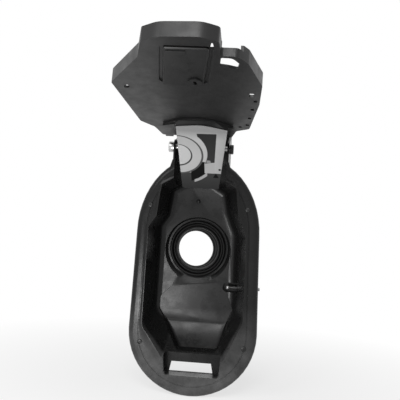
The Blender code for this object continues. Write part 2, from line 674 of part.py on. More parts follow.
def arm_face_plate(parts, material, pivot):
    rear = -SEAT_GAP
    front = rear - FACE_PLATE_THICKNESS
    half = ARM_WIDTH / 2 - FACE_PLATE_MARGIN
    low_half = half - FACE_PLATE_TAPER
    bottom = -ARM_FACE_DOWN + FACE_PLATE_MARGIN
    top = ARM_FACE_UP
    outline = [(-low_half, bottom, 2 * MM), (low_half, bottom, 2 * MM), (half, top, 1 * MM), (-half, top, 1 * MM)]
    points = round_corners(outline)
    rings = []
    for depth in (rear, front):
        rings.append([(CENTRE_X + u, *arm_line(v, depth)) for u, v in points])
    plate = loft("arm_face_plate", rings, parts, material)
    plate.parent = pivot
    return plate


# Corners of the carrier seen from its inner face, as (across, distance from the pin, radius)
def carrier_corners(growth):
    corners = [
        (-ROOT_END_HALF, PANEL_START, 3 * MM),
        (-ROOT_HALF, ROOT_LOW, 6 * MM),
        (-SIDE_LOW_HALF, SIDE_LOW, 6 * MM),
        (-SIDE_HALF, SIDE_TOP, 6 * MM),
        (-TAB_HALF - 4 * MM, TAB_BASE, 4 * MM),
        (-TAB_HALF, PANEL_END - 3 * MM, 4 * MM),
        (0.0, PANEL_END + 3 * MM, 60 * MM),
        (TAB_HALF, PANEL_END - 3 * MM, 4 * MM),
        (TAB_HALF, STRAP_S, 2 * MM),
        (STRAP_END, STRAP_S, 5 * MM),
        (RIGHT_SHOULDER, RIGHT_SHOULDER_S, 6 * MM),
        (SIDE_HALF - 1 * MM, SIDE_TOP + 4 * MM, 8 * MM),
        (SIDE_HALF - 4 * MM, SIDE_TOP - 40 * MM, 20 * MM),
        (SIDE_LOW_HALF - 3 * MM, SIDE_LOW - 4 * MM, 5 * MM),
        (ROOT_HALF - 2 * MM, ROOT_LOW - 2 * MM, 5 * MM),
        (ROOT_END_HALF - 1 * MM, PANEL_START, 3 * MM),
    ]
    ccw = [(CENTRE_X + u, -s, radius) for u, s, radius in corners]
    return grow_corners(ccw, growth)


def flap_carrier(parts, cutters, material, pivot):
    inner_face = -PANEL_OFFSET
    outer_edge = inner_face - RIM_HEIGHT
    outline = round_corners(carrier_corners(0.0), 3)
    carrier = plate_xz("flap_carrier", outline, outer_edge, inner_face, parts, material)
    pan = round_corners(carrier_corners(-RIM_THICKNESS), 3)
    hollow = plate_xz("carrier_hollow", pan, outer_edge - CUT_OVERRUN, inner_face - PANEL_THICKNESS, cutters)
    boolean(carrier, as_cutter(hollow), "DIFFERENCE")
    low = LATCH_BOX_LOW_HALF
    high = LATCH_BOX_HIGH_HALF
    start = -LATCH_BOX_START
    end = -(LATCH_BOX_START + LATCH_BOX_LENGTH)
    base = [(CENTRE_X - high, end, 3 * MM), (CENTRE_X + high, end, 3 * MM)]
    base += [(CENTRE_X + low, start, 4 * MM), (CENTRE_X - low, start, 4 * MM)]
    foot = round_corners(base)
    top = round_corners(grow_corners(base, -LATCH_BOX_SLOPE))
    rings = [ring_at(foot, inner_face - PANEL_THICKNESS / 2), ring_at(foot, inner_face)]
    rings.append(ring_at(top, inner_face + LATCH_BOX_RISE))
    raised = as_cutter(loft("latch_box_raise", rings, cutters))
    boolean(carrier, raised, "UNION")
    core_points = round_corners(grow_corners(base, -LATCH_BOX_SLOPE - WALL))
    core = plate_xz("latch_box_core", core_points, outer_edge - CUT_OVERRUN,
                    inner_face + LATCH_BOX_RISE - PANEL_THICKNESS, cutters)
    boolean(carrier, as_cutter(core), "DIFFERENCE")
    trim_low = (CENTRE_X + TAB_HALF + SEAT_GAP, outer_edge - CUT_OVERRUN, -STRAP_S - RIM_THICKNESS)
    trim_high = (CENTRE_X + STRAP_END + 2 * RIM_THICKNESS, inner_face - STRAP_HEIGHT, -STRAP_S + 3 * RIM_THICKNESS)
    trim = as_cutter(box("strap_trim", trim_low, trim_high, cutters))
    boolean(carrier, trim, "DIFFERENCE")
    lug_low = (CENTRE_X - ROOT_END_HALF - LUG_WIDTH / 3, inner_face - LUG_HEIGHT, -PANEL_START - LUG_LENGTH / 3)
    lug_high = (CENTRE_X - ROOT_END_HALF + 2 * LUG_WIDTH / 3, inner_face, -PANEL_START + 2 * LUG_LENGTH / 3)
    lug = as_cutter(box("root_lug", lug_low, lug_high, cutters))
    boolean(carrier, lug, "UNION")
    holders = [carrier, hollow, raised, core, trim, lug]
    holders += carrier_windows(carrier, cutters)
    for item in holders:
        item.parent = pivot
    return carrier


# Windows cut through the carrier, as corners of (across, distance from the pin, radius)
def carrier_windows(carrier, cutters):
    arc_slot = [(31.5 * MM, 215 * MM, 1 * MM), (39 * MM, 213.5 * MM, 6 * MM), (46.5 * MM, 209.5 * MM, 1 * MM)]
    arc_slot += [(48 * MM, 220 * MM, 3 * MM), (42.5 * MM, 231.5 * MM, 6 * MM), (33 * MM, 231.5 * MM, 1.5 * MM)]
    wedge = [(24 * MM, 246.5 * MM, 0.6 * MM), (28.6 * MM, 246.5 * MM, 0.6 * MM), (28.6 * MM, 257 * MM, 0.6 * MM)]
    wedge += [(26.4 * MM, 257 * MM, 0.6 * MM)]
    left_hole = [(-63 * MM, 156 * MM, 1.5 * MM), (-57 * MM, 159 * MM, 1.5 * MM), (-57 * MM, 165 * MM, 1.5 * MM)]
    left_hole += [(-62 * MM, 164 * MM, 1.5 * MM)]
    right_hole = [(56 * MM, 148 * MM, 0.8 * MM), (61 * MM, 148 * MM, 0.8 * MM), (61 * MM, 156 * MM, 0.8 * MM)]
    right_hole += [(56 * MM, 156 * MM, 0.8 * MM)]
    named = {"arc_slot": arc_slot, "wedge_window": wedge, "left_hole": left_hole, "right_hole": right_hole}
    tools = []
    for name, corners in named.items():
        ccw = [(CENTRE_X + u, -s, radius) for u, s, radius in reversed(corners)]
        tool = plate_xz(name, round_corners(ccw, 3), -PANEL_OFFSET - 2 * PANEL_THICKNESS,
                        -PANEL_OFFSET + PANEL_THICKNESS, cutters)
        boolean(carrier, as_cutter(tool), "DIFFERENCE")
        tools.append(tool)
    return tools


def shade_round_parts(parts):
    for item in parts.objects:
        if item.type == "MESH":
            item.data.shade_smooth()
            item.data.set_sharp_from_angle(angle=radians(35))


def build():
    clear_scene()
    parts = make_collection(PART_NAME)
    cutters = make_collection("cutters")
    moulded = make_material("moulded_black_plastic", (0.022, 0.022, 0.024), 0.5)
    carrier_black = make_material("carrier_black_plastic", (0.03, 0.03, 0.032), 0.55)
    rubber = make_material("black_rubber", (0.012, 0.012, 0.012), 0.7)
    steel = make_material("bright_steel", (0.6, 0.6, 0.58), 0.3, 1.0)
    screw_black = make_material("black_screw", (0.02, 0.02, 0.02), 0.4)
    plate_grey = make_material("light_grey_plate", (0.62, 0.63, 0.63), 0.45)
    housing_tray(parts, cutters, moulded)
    neck_grommet(parts, rubber)
    housing_screws(parts, screw_black)
    floor_clip(parts, moulded)
    hinge_hardware(parts, steel, screw_black)
    lock_hardware(parts, steel, screw_black)
    pivot = bpy.data.objects.new("flap_pivot", None)
    parts.objects.link(pivot)
    pivot.location = (0.0, HINGE_Y, HINGE_Z)
    pivot.rotation_euler = (-radians(OPEN_ANGLE), 0.0, 0.0)
    hinge_arm(parts, cutters, moulded, pivot)
    arm_face_plate(parts, plate_grey, pivot)
    flap_carrier(parts, cutters, carrier_black, pivot)
    shade_round_parts(parts)


build()
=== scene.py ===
import json
from math import atan2, cos, pi, radians, sin, sqrt
import bmesh
import bpy
from mathutils import Matrix, Vector

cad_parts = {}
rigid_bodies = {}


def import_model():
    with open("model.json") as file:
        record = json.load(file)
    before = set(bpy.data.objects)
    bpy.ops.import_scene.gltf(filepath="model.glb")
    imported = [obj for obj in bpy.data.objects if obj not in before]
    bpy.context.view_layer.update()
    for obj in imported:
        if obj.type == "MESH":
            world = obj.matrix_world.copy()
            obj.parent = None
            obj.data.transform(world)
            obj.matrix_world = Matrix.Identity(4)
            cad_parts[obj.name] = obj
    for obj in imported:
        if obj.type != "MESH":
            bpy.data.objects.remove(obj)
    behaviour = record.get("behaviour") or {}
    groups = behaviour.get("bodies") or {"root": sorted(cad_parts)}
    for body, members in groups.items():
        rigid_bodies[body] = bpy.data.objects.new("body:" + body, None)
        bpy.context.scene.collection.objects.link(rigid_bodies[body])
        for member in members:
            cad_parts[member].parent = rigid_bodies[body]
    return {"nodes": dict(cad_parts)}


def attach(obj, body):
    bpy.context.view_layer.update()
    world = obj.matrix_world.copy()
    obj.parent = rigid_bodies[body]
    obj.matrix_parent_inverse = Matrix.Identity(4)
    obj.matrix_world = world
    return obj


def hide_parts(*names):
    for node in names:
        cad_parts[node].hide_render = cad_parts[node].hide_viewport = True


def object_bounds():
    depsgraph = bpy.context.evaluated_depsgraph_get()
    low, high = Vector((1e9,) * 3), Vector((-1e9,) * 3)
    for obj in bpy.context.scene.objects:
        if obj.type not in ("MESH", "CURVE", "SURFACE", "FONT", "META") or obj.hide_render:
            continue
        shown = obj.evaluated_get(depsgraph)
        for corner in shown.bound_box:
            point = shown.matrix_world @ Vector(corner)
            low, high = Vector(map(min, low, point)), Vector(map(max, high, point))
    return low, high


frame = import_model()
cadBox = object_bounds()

print("stage: frame loaded,", len(frame["nodes"]), "nodes")

mm = 0.001
grainDepth = 0.0002

# the camera stands square to the recess, a little to the right, and is rolled like the photo
cameraSettings = {
    "target": (0.9 * mm, -3.0 * mm, 216.5 * mm),
    "distance": 760 * mm,
    "yaw": 5.0,
    "roll": 3.2,
    "lens": 58.84,
}


def addCamera(s):
    yaw, roll = radians(s["yaw"]), radians(s["roll"])
    forward = Vector((-sin(yaw), cos(yaw), 0))
    level = Vector((cos(yaw), sin(yaw), 0))
    up = Vector((0, 0, 1))
    right = level * cos(roll) + up * sin(roll)
    tilted = up * cos(roll) - level * sin(roll)
    camera = bpy.data.objects.new("photoCamera", bpy.data.cameras.new("photoCamera"))
    camera.data.lens = s["lens"]
    camera.data.sensor_width = 36
    camera.data.clip_start = 0.01
    camera.matrix_world = Matrix((
        (right.x, tilted.x, -forward.x, 0),
        (right.y, tilted.y, -forward.y, 0),
        (right.z, tilted.z, -forward.z, 0),
        (0, 0, 0, 1),
    ))
    camera.location = Vector(s["target"]) - forward * s["distance"]
    bpy.context.scene.collection.objects.link(camera)
    bpy.context.scene.camera = camera


# node helpers
def newMaterial(name):
    material = bpy.data.materials.new(name)
    material.use_nodes = True
    return material, material.node_tree, material.node_tree.nodes["Principled BSDF"]


def addNode(tree, kind, inputs=None, **settings):
    node = tree.nodes.new(kind)
    for key, value in settings.items():
        setattr(node, key, value)
    for key, value in (inputs or {}).items():
        if isinstance(value, bpy.types.NodeSocket):
            tree.links.new(value, node.inputs[key])
        else:
            node.inputs[key].default_value = value
    return node


def mathNode(tree, operation, first, second=None):
    node = tree.nodes.new("ShaderNodeMath")
    node.operation = operation
    for index, value in enumerate((first, second)):
        if isinstance(value, bpy.types.NodeSocket):
            tree.links.new(value, node.inputs[index])
        elif value is not None:
            node.inputs[index].default_value = value
    return node.outputs[0]


def mixColour(tree, factor, first, second):
    node = addNode(tree, "ShaderNodeMix", data_type="RGBA")
    for index, value in ((0, factor), (6, first), (7, second)):
        if isinstance(value, bpy.types.NodeSocket):
            tree.links.new(value, node.inputs[index])
        else:
            node.inputs[index].default_value = value
    return node.outputs[2]


def ramp(tree, factor, low, high, lowValue=0.0, highValue=1.0):
    node = addNode(tree, "ShaderNodeMapRange",
                   {"Value": factor, "From Min": low, "From Max": high, "To Min": lowValue,
                    "To Max": highValue})
    node.clamp = True
    return node.outputs["Result"]


# scales of the surface noises, from slow changes of tone to grain
noiseScale = {
    "slow": 18, "flow": 70, "speck": 420, "mottle": 46,
    "bloom": 60, "rubberGrain": 1800, "turning": 700, "stain": 190,
}


def noise(tree, vector, scale, detail=3.0, roughness=0.5):
    node = addNode(tree, "ShaderNodeTexNoise",
                   {"Vector": vector, "Scale": scale, "Detail": detail, "Roughness": roughness})
    return node.outputs["Fac"]


# grain: a bump too low to show in an outline
def addGrain(tree, shader, height, strength):
    bump = addNode(tree, "ShaderNodeBump",
                   {"Height": height, "Strength": strength, "Distance": grainDepth})
    tree.links.new(bump.outputs["Normal"], shader.inputs["Normal"])


# values that are the same all over a surface
def setSockets(shader, values):
    for name, value in values.items():
        shader.inputs[name].default_value = value


def grey(value, warm=0.0):
    return (value * (1 + warm), value, value * (1 - warm), 1.0)


# moulded plastic: spark-eroded grain, slow tone changes, a little dust where it can lie
plasticSettings = {
    "mouldedBlack": {
        "tone": 0.007, "dust": 0.05, "rough": 0.28, "grain": 0.05, "grainScale": 2600,
        "shine": 0.20, "flangeDustAndSheen": 0.16,
    },
    "carrierBlack": {
        "tone": 0.012, "dust": 0.06, "rough": 0.42, "grain": 0.08, "grainScale": 2200,
        "shine": 0.32, "flangeDustAndSheen": 0.0,
    },
    "fixingBlack": {
        "tone": 0.010, "dust": 0.03, "rough": 0.36, "grain": 0.03, "grainScale": 3500,
        "shine": 0.3, "flangeDustAndSheen": 0.0,
    },
}


def plasticMaterial(name):
    s = plasticSettings[name]
    material, tree, shader = newMaterial(name)
    spot = tree.nodes.new("ShaderNodeTexCoord").outputs["Object"]
    slow = noise(tree, spot, noiseScale["slow"], 3)
    flow = noise(tree, spot, noiseScale["flow"], 4, 0.6)
    fine = noise(tree, spot, s["grainScale"], 2, 0.7)
    tone = mixColour(tree, ramp(tree, slow, 0.35, 0.7), grey(s["tone"] * 0.86),
                     grey(s["tone"] * 1.18))
    upward = addNode(tree, "ShaderNodeSeparateXYZ",
                     {"Vector": tree.nodes.new("ShaderNodeNewGeometry").outputs["Normal"]})
    lying = ramp(tree, upward.outputs["Z"], 0.2, 0.95)
    speck = ramp(tree, noise(tree, spot, noiseScale["speck"], 4, 0.75), 0.52, 0.72)
    dustAmount = mathNode(tree, "MULTIPLY", mathNode(tree, "MULTIPLY", lying, speck), 0.35)
    colour = mixColour(tree, dustAmount, tone, grey(s["dust"], 0.02))
    # a lighter mottled tone low on the flange's front: partly dust, partly a painted sheen where
    # the lower flange catches light
    if s["flangeDustAndSheen"]:
        where = addNode(tree, "ShaderNodeSeparateXYZ", {"Vector": spot})
        low = ramp(tree, where.outputs["Z"], 0.10, 0.01)
        front = ramp(tree, where.outputs["Y"], 0.004, 0.0)
        mottle = ramp(tree, noise(tree, spot, noiseScale["mottle"], 5, 0.7), 0.32, 0.68, 0.35, 1.0)
        amount = mathNode(tree, "MULTIPLY", mathNode(tree, "MULTIPLY", low, front), mottle)
        colour = mixColour(tree, amount, colour, grey(s["flangeDustAndSheen"] * 0.5))
    tree.links.new(colour, shader.inputs["Base Color"])
    streak = ramp(tree, flow, 0.3, 0.75, s["rough"] - 0.07, s["rough"] + 0.1)
    tree.links.new(mathNode(tree, "ADD", streak, mathNode(tree, "MULTIPLY", dustAmount, 0.3)),
                   shader.inputs["Roughness"])
    addGrain(tree, shader, fine, s["grain"])
    setSockets(shader, {"IOR": 1.5, "Specular IOR Level": s["shine"]})
    return material


rubberSettings = {"tone": 0.004, "bloom": 0.008, "rough": (0.42, 0.62), "shine": 0.1, "grain": 0.08}


def rubberMaterial(s):
    material, tree, shader = newMaterial("neckRubber")
    spot = tree.nodes.new("ShaderNodeTexCoord").outputs["Object"]
    bloom = ramp(tree, noise(tree, spot, noiseScale["bloom"], 5, 0.65), 0.45, 0.75)
    colour = mixColour(tree, bloom, grey(s["tone"]), grey(s["bloom"], 0.03))
    tree.links.new(colour, shader.inputs["Base Color"])
    tree.links.new(ramp(tree, bloom, 0.0, 1.0, *s["rough"]), shader.inputs["Roughness"])
    setSockets(shader, {"Specular IOR Level": s["shine"]})
    fine = noise(tree, spot, noiseScale["rubberGrain"], 2)
    addGrain(tree, shader, fine, s["grain"])
    return material


steelSettings = {
    "brightSteel": {"tone": 0.52, "rough": 0.26, "grain": 0.12},
    "darkSteel": {"tone": 0.28, "rough": 0.38, "grain": 0.12},
}


def steelMaterial(name):
    s = steelSettings[name]
    material, tree, shader = newMaterial(name)
    spot = tree.nodes.new("ShaderNodeTexCoord").outputs["Object"]
    mapping = addNode(tree, "ShaderNodeMapping", {"Vector": spot, "Scale": (9.0, 1.0, 1.0)})
    turned = noise(tree, mapping.outputs["Vector"], noiseScale["turning"], 3, 0.7)
    stain = ramp(tree, noise(tree, spot, noiseScale["stain"], 4), 0.5, 0.75)
    colour = mixColour(tree, stain, grey(s["tone"]), grey(s["tone"] * 0.62, 0.05))
    tree.links.new(colour, shader.inputs["Base Color"])
    streak = ramp(tree, turned, 0.3, 0.7, s["rough"] - 0.08, s["rough"] + 0.12)
    tree.links.new(streak, shader.inputs["Roughness"])
    addGrain(tree, shader, turned, s["grain"])
    setSockets(shader, {"Metallic": 1.0})
    return material


def makeMaterials():
    made = {name: plasticMaterial(name) for name in plasticSettings}
    made["neckRubber"] = rubberMaterial(rubberSettings)
    for name in steelSettings:
        made[name] = steelMaterial(name)
    return made


# shared fits between the pieces
fit = {
    "seatGap": 0.3 * mm,
    "pinClearance": 0.35 * mm,
    "cutOverrun": 4.0 * mm,
}

# solids and cutters stand in a collection of their own until they are settled into pieces
workshop = bpy.data.collections.new("workshop")
bpy.context.scene.collection.children.link(workshop)


# outlines are rounded, grown and skinned, and the solids are joined or cut by Boolean modifiers
def addObject(name, mesh):
    item = bpy.data.objects.new(name, mesh)
    workshop.objects.link(item)
    return item


def addToScene(name, data):
    item = bpy.data.objects.new(name, data)
    bpy.context.scene.collection.objects.link(item)
    return item


def boolean(target, tool, operation):
    modifier = target.modifiers.new(tool.name, "BOOLEAN")
    modifier.operation = operation
    modifier.solver = "EXACT"
    modifier.object = tool


def meshFromBmesh(name, shape):
    bmesh.ops.recalc_face_normals(shape, faces=shape.faces)
    mesh = bpy.data.meshes.new(name)
    shape.to_mesh(mesh)
    shape.free()
    return mesh


# a round corner for each (u, v, radius), all with the same number of points
def roundCorners(corners, steps=4):
    points = []
    count = len(corners)
    for index, (u, v, radius) in enumerate(corners):
        here = Vector((u, v))
        before = Vector(corners[index - 1][:2]) - here
        after = Vector(corners[(index + 1) % count][:2]) - here
        half = before.angle(after) / 2
        reach = min(radius / max(sin(half) / cos(half), 1e-6), 0.49 * before.length,
                    0.49 * after.length)
        trueRadius = reach * sin(half) / cos(half)
        start = here + before.normalized() * reach
        end = here + after.normalized() * reach
        middle = (before.normalized() + after.normalized()).normalized()
        centre = here + middle * sqrt(reach * reach + trueRadius * trueRadius)
        first = atan2(start.y - centre.y, start.x - centre.x)
        last = atan2(end.y - centre.y, end.x - centre.x)
        turn = (last - first + pi) % (2 * pi) - pi
        for step in range(steps + 1):
            angle = first + turn * step / steps
            points.append((centre.x + trueRadius * cos(angle), centre.y + trueRadius * sin(angle)))
    return points


# moves every edge of a counter-clockwise outline outwards by one distance
def growCorners(corners, distance):
    grown = []
    count = len(corners)
    for index, (u, v, radius) in enumerate(corners):
        here = Vector((u, v))
        into = (here - Vector(corners[index - 1][:2])).normalized()
        away = (Vector(corners[(index + 1) % count][:2]) - here).normalized()
        normalIn = Vector((into.y, -into.x))
        normalOut = Vector((away.y, -away.x))
        bisector = (normalIn + normalOut).normalized()
        moved = here + bisector * distance / max(bisector.dot(normalIn), 0.2)
        turn = into.x * away.y - into.y * away.x
        newRadius = max(radius + (distance if turn > 0 else -distance), 0.3 * mm)
        grown.append((moved.x, moved.y, newRadius))
    return grown


def blendCorners(first, second, share):
    return [tuple(a + (b - a) * share for a, b in zip(p, q)) for p, q in zip(first, second)]


# skins a stack of like rings of 3-D points and closes both ends
def loft(name, rings):
    shape = bmesh.new()
    loops = [[shape.verts.new(point) for point in ring] for ring in rings]
    count = len(loops[0])
    for lower, upper in zip(loops[:-1], loops[1:]):
        for index in range(count):
            following = (index + 1) % count
            shape.faces.new((lower[index], lower[following], upper[following], upper[index]))
    shape.faces.new(loops[0])
    shape.faces.new(loops[-1])
    return addObject(name, meshFromBmesh(name, shape))


# an arc of a side profile, from one angle to another in degrees
def arcPoints(centre, radius, start, end, steps):
    angles = [radians(start + (end - start) * step / steps) for step in range(steps + 1)]
    return [(centre[0] + radius * cos(angle), centre[1] + radius * sin(angle)) for angle in angles]


def ringAt(points, y):
    return [(u, y, v) for u, v in points]


# a flat outline in XZ, filled and given a thickness from front to back
def plateXz(name, points, front, back):
    return loft(name, [ringAt(points, front), ringAt(points, back)])


# a side profile of (y, z) points, given a width along X
def plateYz(name, points, left, right):
    rings = [[(x, y, z) for y, z in points] for x in (left, right)]
    return loft(name, rings)


def box(name, low, high):
    shape = bmesh.new()
    bmesh.ops.create_cube(shape, size=1.0)
    size = Vector(high) - Vector(low)
    middle = (Vector(high) + Vector(low)) / 2
    bmesh.ops.scale(shape, vec=size, verts=shape.verts)
    bmesh.ops.translate(shape, vec=middle, verts=shape.verts)
    return addObject(name, meshFromBmesh(name, shape))


def cylinderX(name, radius, left, right, y, z, steps=24):
    shape = bmesh.new()
    place = Matrix.Translation(((left + right) / 2, y, z)) @ Matrix.Rotation(pi / 2, 4, "Y")
    bmesh.ops.create_cone(shape, cap_ends=True, segments=steps, radius1=radius, radius2=radius,
                          depth=right - left, matrix=place)
    return addObject(name, meshFromBmesh(name, shape))


def cylinderY(name, radius, front, back, x, z, steps=24):
    shape = bmesh.new()
    place = Matrix.Translation((x, (front + back) / 2, z)) @ Matrix.Rotation(pi / 2, 4, "X")
    bmesh.ops.create_cone(shape, cap_ends=True, segments=steps, radius1=radius, radius2=radius,
                          depth=back - front, matrix=place)
    return addObject(name, meshFromBmesh(name, shape))


# turns a closed or axis-to-axis profile of (radius, height) about its Z axis, then places it
def turned(name, profile, steps, place, turn, closed=True):
    following = profile[1:] + profile[:1]
    if sum(r * h2 - r2 * h for (r, h), (r2, h2) in zip(profile, following)) > 0:
        profile = profile[::-1]
    shape = bmesh.new()
    points = [shape.verts.new((radius, 0, height)) for radius, height in profile]
    for first, second in zip(points[:-1], points[1:]):
        shape.edges.new((first, second))
    if closed:
        shape.edges.new((points[-1], points[0]))
    mesh = bpy.data.meshes.new(name)
    shape.to_mesh(mesh)
    shape.free()
    item = addObject(name, mesh)
    screw = item.modifiers.new("turn", "SCREW")
    screw.axis = "Z"
    screw.steps = steps
    screw.render_steps = steps
    screw.use_merge_vertices = True
    screw.merge_threshold = 0.00001
    item.location = place
    item.rotation_euler = turn


hinge = {
    "x": -1.0 * mm,
    "y": 6.0 * mm,
    "z": 277.5 * mm,
    "openAngle": 102.5,
    "earOuterWidth": 64.8 * mm,
    "earThickness": 2.0 * mm,
    "earRadius": 9.0 * mm,
    "earAngles": (60.0, 180.0),
    "earSteps": 8,
    "earFlare": 3.2 * mm,
    "earFlareStart": 0.2,
    "earFlareZ": 262.0 * mm,
    "sweepRadius": 48.5 * mm,
    "sweepSteps": 72,
    "boxAngles": (-122.0, 28.0),
    "boxSteps": 18,
    "pinRadius": 3.0 * mm,
    "pinSteps": 24,
    "bushRadius": 6.3 * mm,
    "bushLength": 6.2 * mm,
    "capRadius": 5.6 * mm,
    "capLength": 4.0 * mm,
    "capGrip": 0.7,
    "ringBevel": 0.6 * mm,
}

# the recess: flange, cavity, basin, latch recess and hinge box
tray = {
    "flangeLowRadius": 75.5 * mm,
    "flangeLowCentreZ": 62.0 * mm,
    "flangeTopHalfWidth": 72.0 * mm,
    "flangeTopHeight": 90.0 * mm,
    "flangeTopCentreZ": 177.0 * mm,
    "flangeThickness": 3.0 * mm,
    "flangeRollWidth": 6.8 * mm,
    "flangeEdgeTurn": 2.6 * mm,
    "flangeEdgeThickness": 1.3 * mm,
    "flangeSeatInset": 5.0 * mm,
    "flangeSink": 0.4 * mm,
    "grooveInset": 11.3 * mm,
    "grooveWidth": 1.4 * mm,
    "grooveDepth": 0.6 * mm,
    "endSteps": 26,
    "wall": 2.5 * mm,
    "floorDepth": 45.0 * mm,
    "floorFillet": 7.0 * mm,
    "wallSteps": 4,
    "filletSteps": 3,
    "rollSteps": 5,
    "mouthLeft": -59.3 * mm,
    "mouthRight": 58.2 * mm,
    "mouthSideLean": 1.6 * mm,
    "mouthUpperLeft": -48.7 * mm,
    "mouthUpperRight": 46.0 * mm,
    "mouthUpperLean": 4.0 * mm,
    "mouthShoulderZ": 232.0 * mm,
    "mouthTopZ": 245.0 * mm,
    "mouthTopHalf": 22.0 * mm,
    "mouthJogLeft": (182.0 * mm, 196.0 * mm),
    "mouthJogRight": (176.0 * mm, 202.0 * mm),
    "mouthLeftEndZ": 66.0 * mm,
    "mouthRightEndZ": 78.0 * mm,
    "mouthBottomLeft": -34.0 * mm,
    "mouthBottomRight": 37.0 * mm,
    "mouthBottomZ": 31.0 * mm,
    "mouthSoftRadius": 5.0 * mm,
    "mouthWideRadius": 16.0 * mm,
    "draftLeft": 7.5 * mm,
    "draftRight": 12.5 * mm,
    "draftTop": 6.0 * mm,
    "draftBottom": 36.0 * mm,
    "draftSideEnd": 10.0 * mm,
    "draftLift": 2.0 * mm,
    "lipWidth": 3.0 * mm,
    "lipHeight": 0.9 * mm,
    "bowl": {
        "left": -46.0 * mm, "leftTurn": 80.0 * mm, "footLeft": -17.0 * mm,
        "right": 43.5 * mm, "rightTurn": 84.0 * mm, "footRight": 28.0 * mm,
        "footZ": 40.2 * mm, "footY": 30.0 * mm, "bendZ": 72.0 * mm, "curve": 1.5,
        "topZ": 108.0 * mm, "topLeft": -33.0 * mm, "topRight": 22.5 * mm,
        "depth": 2.6 * mm, "draft": 2.4 * mm, "front": 5.0 * mm, "steps": 15, "turn": 82,
        "rightShoulder": (4.0 * mm, 11.0 * mm), "leftShoulder": (0.5 * mm, 12.0 * mm),
        "topSlope": 0.5 * mm, "leastSide": 1.5 * mm, "soft": 6.0 * mm,
    },
    "latchX": 1.2 * mm,
    "latchDepth": 16.0 * mm,
    "latchBottomZ": 10.8 * mm,
    "latchBottomHalf": 32.4 * mm,
    "latchTopHalf": 33.6 * mm,
    "latchTopZ": 36.4 * mm,
    "latchCornerRadius": 3.0 * mm,
    "slotX": -0.6 * mm,
    "slotTopHalf": 23.7 * mm,
    "slotBottomHalf": 26.0 * mm,
    "slotHeight": 11.6 * mm,
    "slotSill": 0.4 * mm,
    "neckX": -2.7 * mm,
    "neckZ": 156.5 * mm,
    "neckSeatRadius": 27.5 * mm,
    "dishDepth": 3.5 * mm,
    "dishRadius": 37.0 * mm,
    "dishSlope": 3.5 * mm,
    "dishDrop": 2.0 * mm,
    "rubberSteps": 48,
}

lock = {
    "setForward": 2.0 * mm,
    "z": 111.2 * mm,
    "pinRadius": 3.1 * mm,
    "shankRadius": 2.0 * mm,
    "pinTipX": 34.0 * mm,
    "pinLength": 42.0 * mm,
    "tipSteps": 9,
    "nicheLeftX": 30.5 * mm,
    "nicheRightX": 52.0 * mm,
    "nicheHalfHeight": 6.0 * mm,
    "nicheLength": 22.0 * mm,
    "nicheDepth": 7.0 * mm,
    "nicheRoundness": 0.98,
    "nicheCorner": 1.0 * mm,
    "bushRadius": 5.6 * mm,
    "bushLength": 9.0 * mm,
    "bushWall": 1.2 * mm,
    "bushFlange": 1.2 * mm,
}

fixing = {
    "screwShankRadius": 1.5 * mm,
    "screwTopZ": 208.0 * mm,
    "screwTopInset": 10.8 * mm,
    "screwLowZ": 47.5 * mm,
    "screwLowInset": 13.2 * mm,
    "screwSteps": 16,
    "clipX": -5.0 * mm,
    "clipRadius": 2.4 * mm,
    "clipHeight": 2.2 * mm,
    "clipZ": 214.5 * mm,
}


# outline of the flange, drawn in from its edge by an inset
def flangeOutline(inset):
    low = tray["flangeLowRadius"] - inset
    half = tray["flangeTopHalfWidth"] - inset
    rise = tray["flangeTopHeight"] - inset
    points = []
    for step in range(tray["endSteps"] + 1):
        angle = pi + pi * step / tray["endSteps"]
        points.append((low * cos(angle), tray["flangeLowCentreZ"] + low * sin(angle)))
    for step in range(tray["endSteps"] + 1):
        angle = pi * step / tray["endSteps"]
        points.append((half * cos(angle), tray["flangeTopCentreZ"] + rise * sin(angle)))
    return points


# half width of the flange at a height
def flangeHalfWidth(z):
    if z < tray["flangeLowCentreZ"]:
        return sqrt(tray["flangeLowRadius"] ** 2 - (tray["flangeLowCentreZ"] - z) ** 2)
    if z > tray["flangeTopCentreZ"]:
        share = (z - tray["flangeTopCentreZ"]) / tray["flangeTopHeight"]
        return tray["flangeTopHalfWidth"] * sqrt(1 - share * share)
    share = (z - tray["flangeLowCentreZ"]) / (tray["flangeTopCentreZ"] - tray["flangeLowCentreZ"])
    return tray["flangeLowRadius"] + (tray["flangeTopHalfWidth"] - tray["flangeLowRadius"]) * share


def screwPlaces():
    top = flangeHalfWidth(fixing["screwTopZ"]) - fixing["screwTopInset"]
    low = flangeHalfWidth(fixing["screwLowZ"]) - fixing["screwLowInset"]
    return [(-top, fixing["screwTopZ"]), (top, fixing["screwTopZ"]), (-low, fixing["screwLowZ"]),
            (low, fixing["screwLowZ"])]


def mouthCorners():
    soft = tray["mouthSoftRadius"]
    wide = tray["mouthWideRadius"]
    return [
        (tray["mouthBottomLeft"], tray["mouthBottomZ"], soft),
        (tray["mouthBottomRight"], tray["mouthBottomZ"], soft),
        (tray["mouthRight"], tray["mouthRightEndZ"], wide),
        (tray["mouthRight"] - tray["mouthSideLean"], tray["mouthJogRight"][0], soft),
        (tray["mouthUpperRight"], tray["mouthJogRight"][1], soft),
        (tray["mouthUpperRight"] - tray["mouthUpperLean"], tray["mouthShoulderZ"], soft),
        (hinge["x"] + tray["mouthTopHalf"], tray["mouthTopZ"], soft),
        (hinge["x"] - tray["mouthTopHalf"], tray["mouthTopZ"], soft),
        (tray["mouthUpperLeft"] + tray["mouthUpperLean"], tray["mouthShoulderZ"], soft),
        (tray["mouthUpperLeft"], tray["mouthJogLeft"][1], soft),
        (tray["mouthLeft"] + tray["mouthSideLean"], tray["mouthJogLeft"][0], soft),
        (tray["mouthLeft"], tray["mouthLeftEndZ"], wide),
    ]


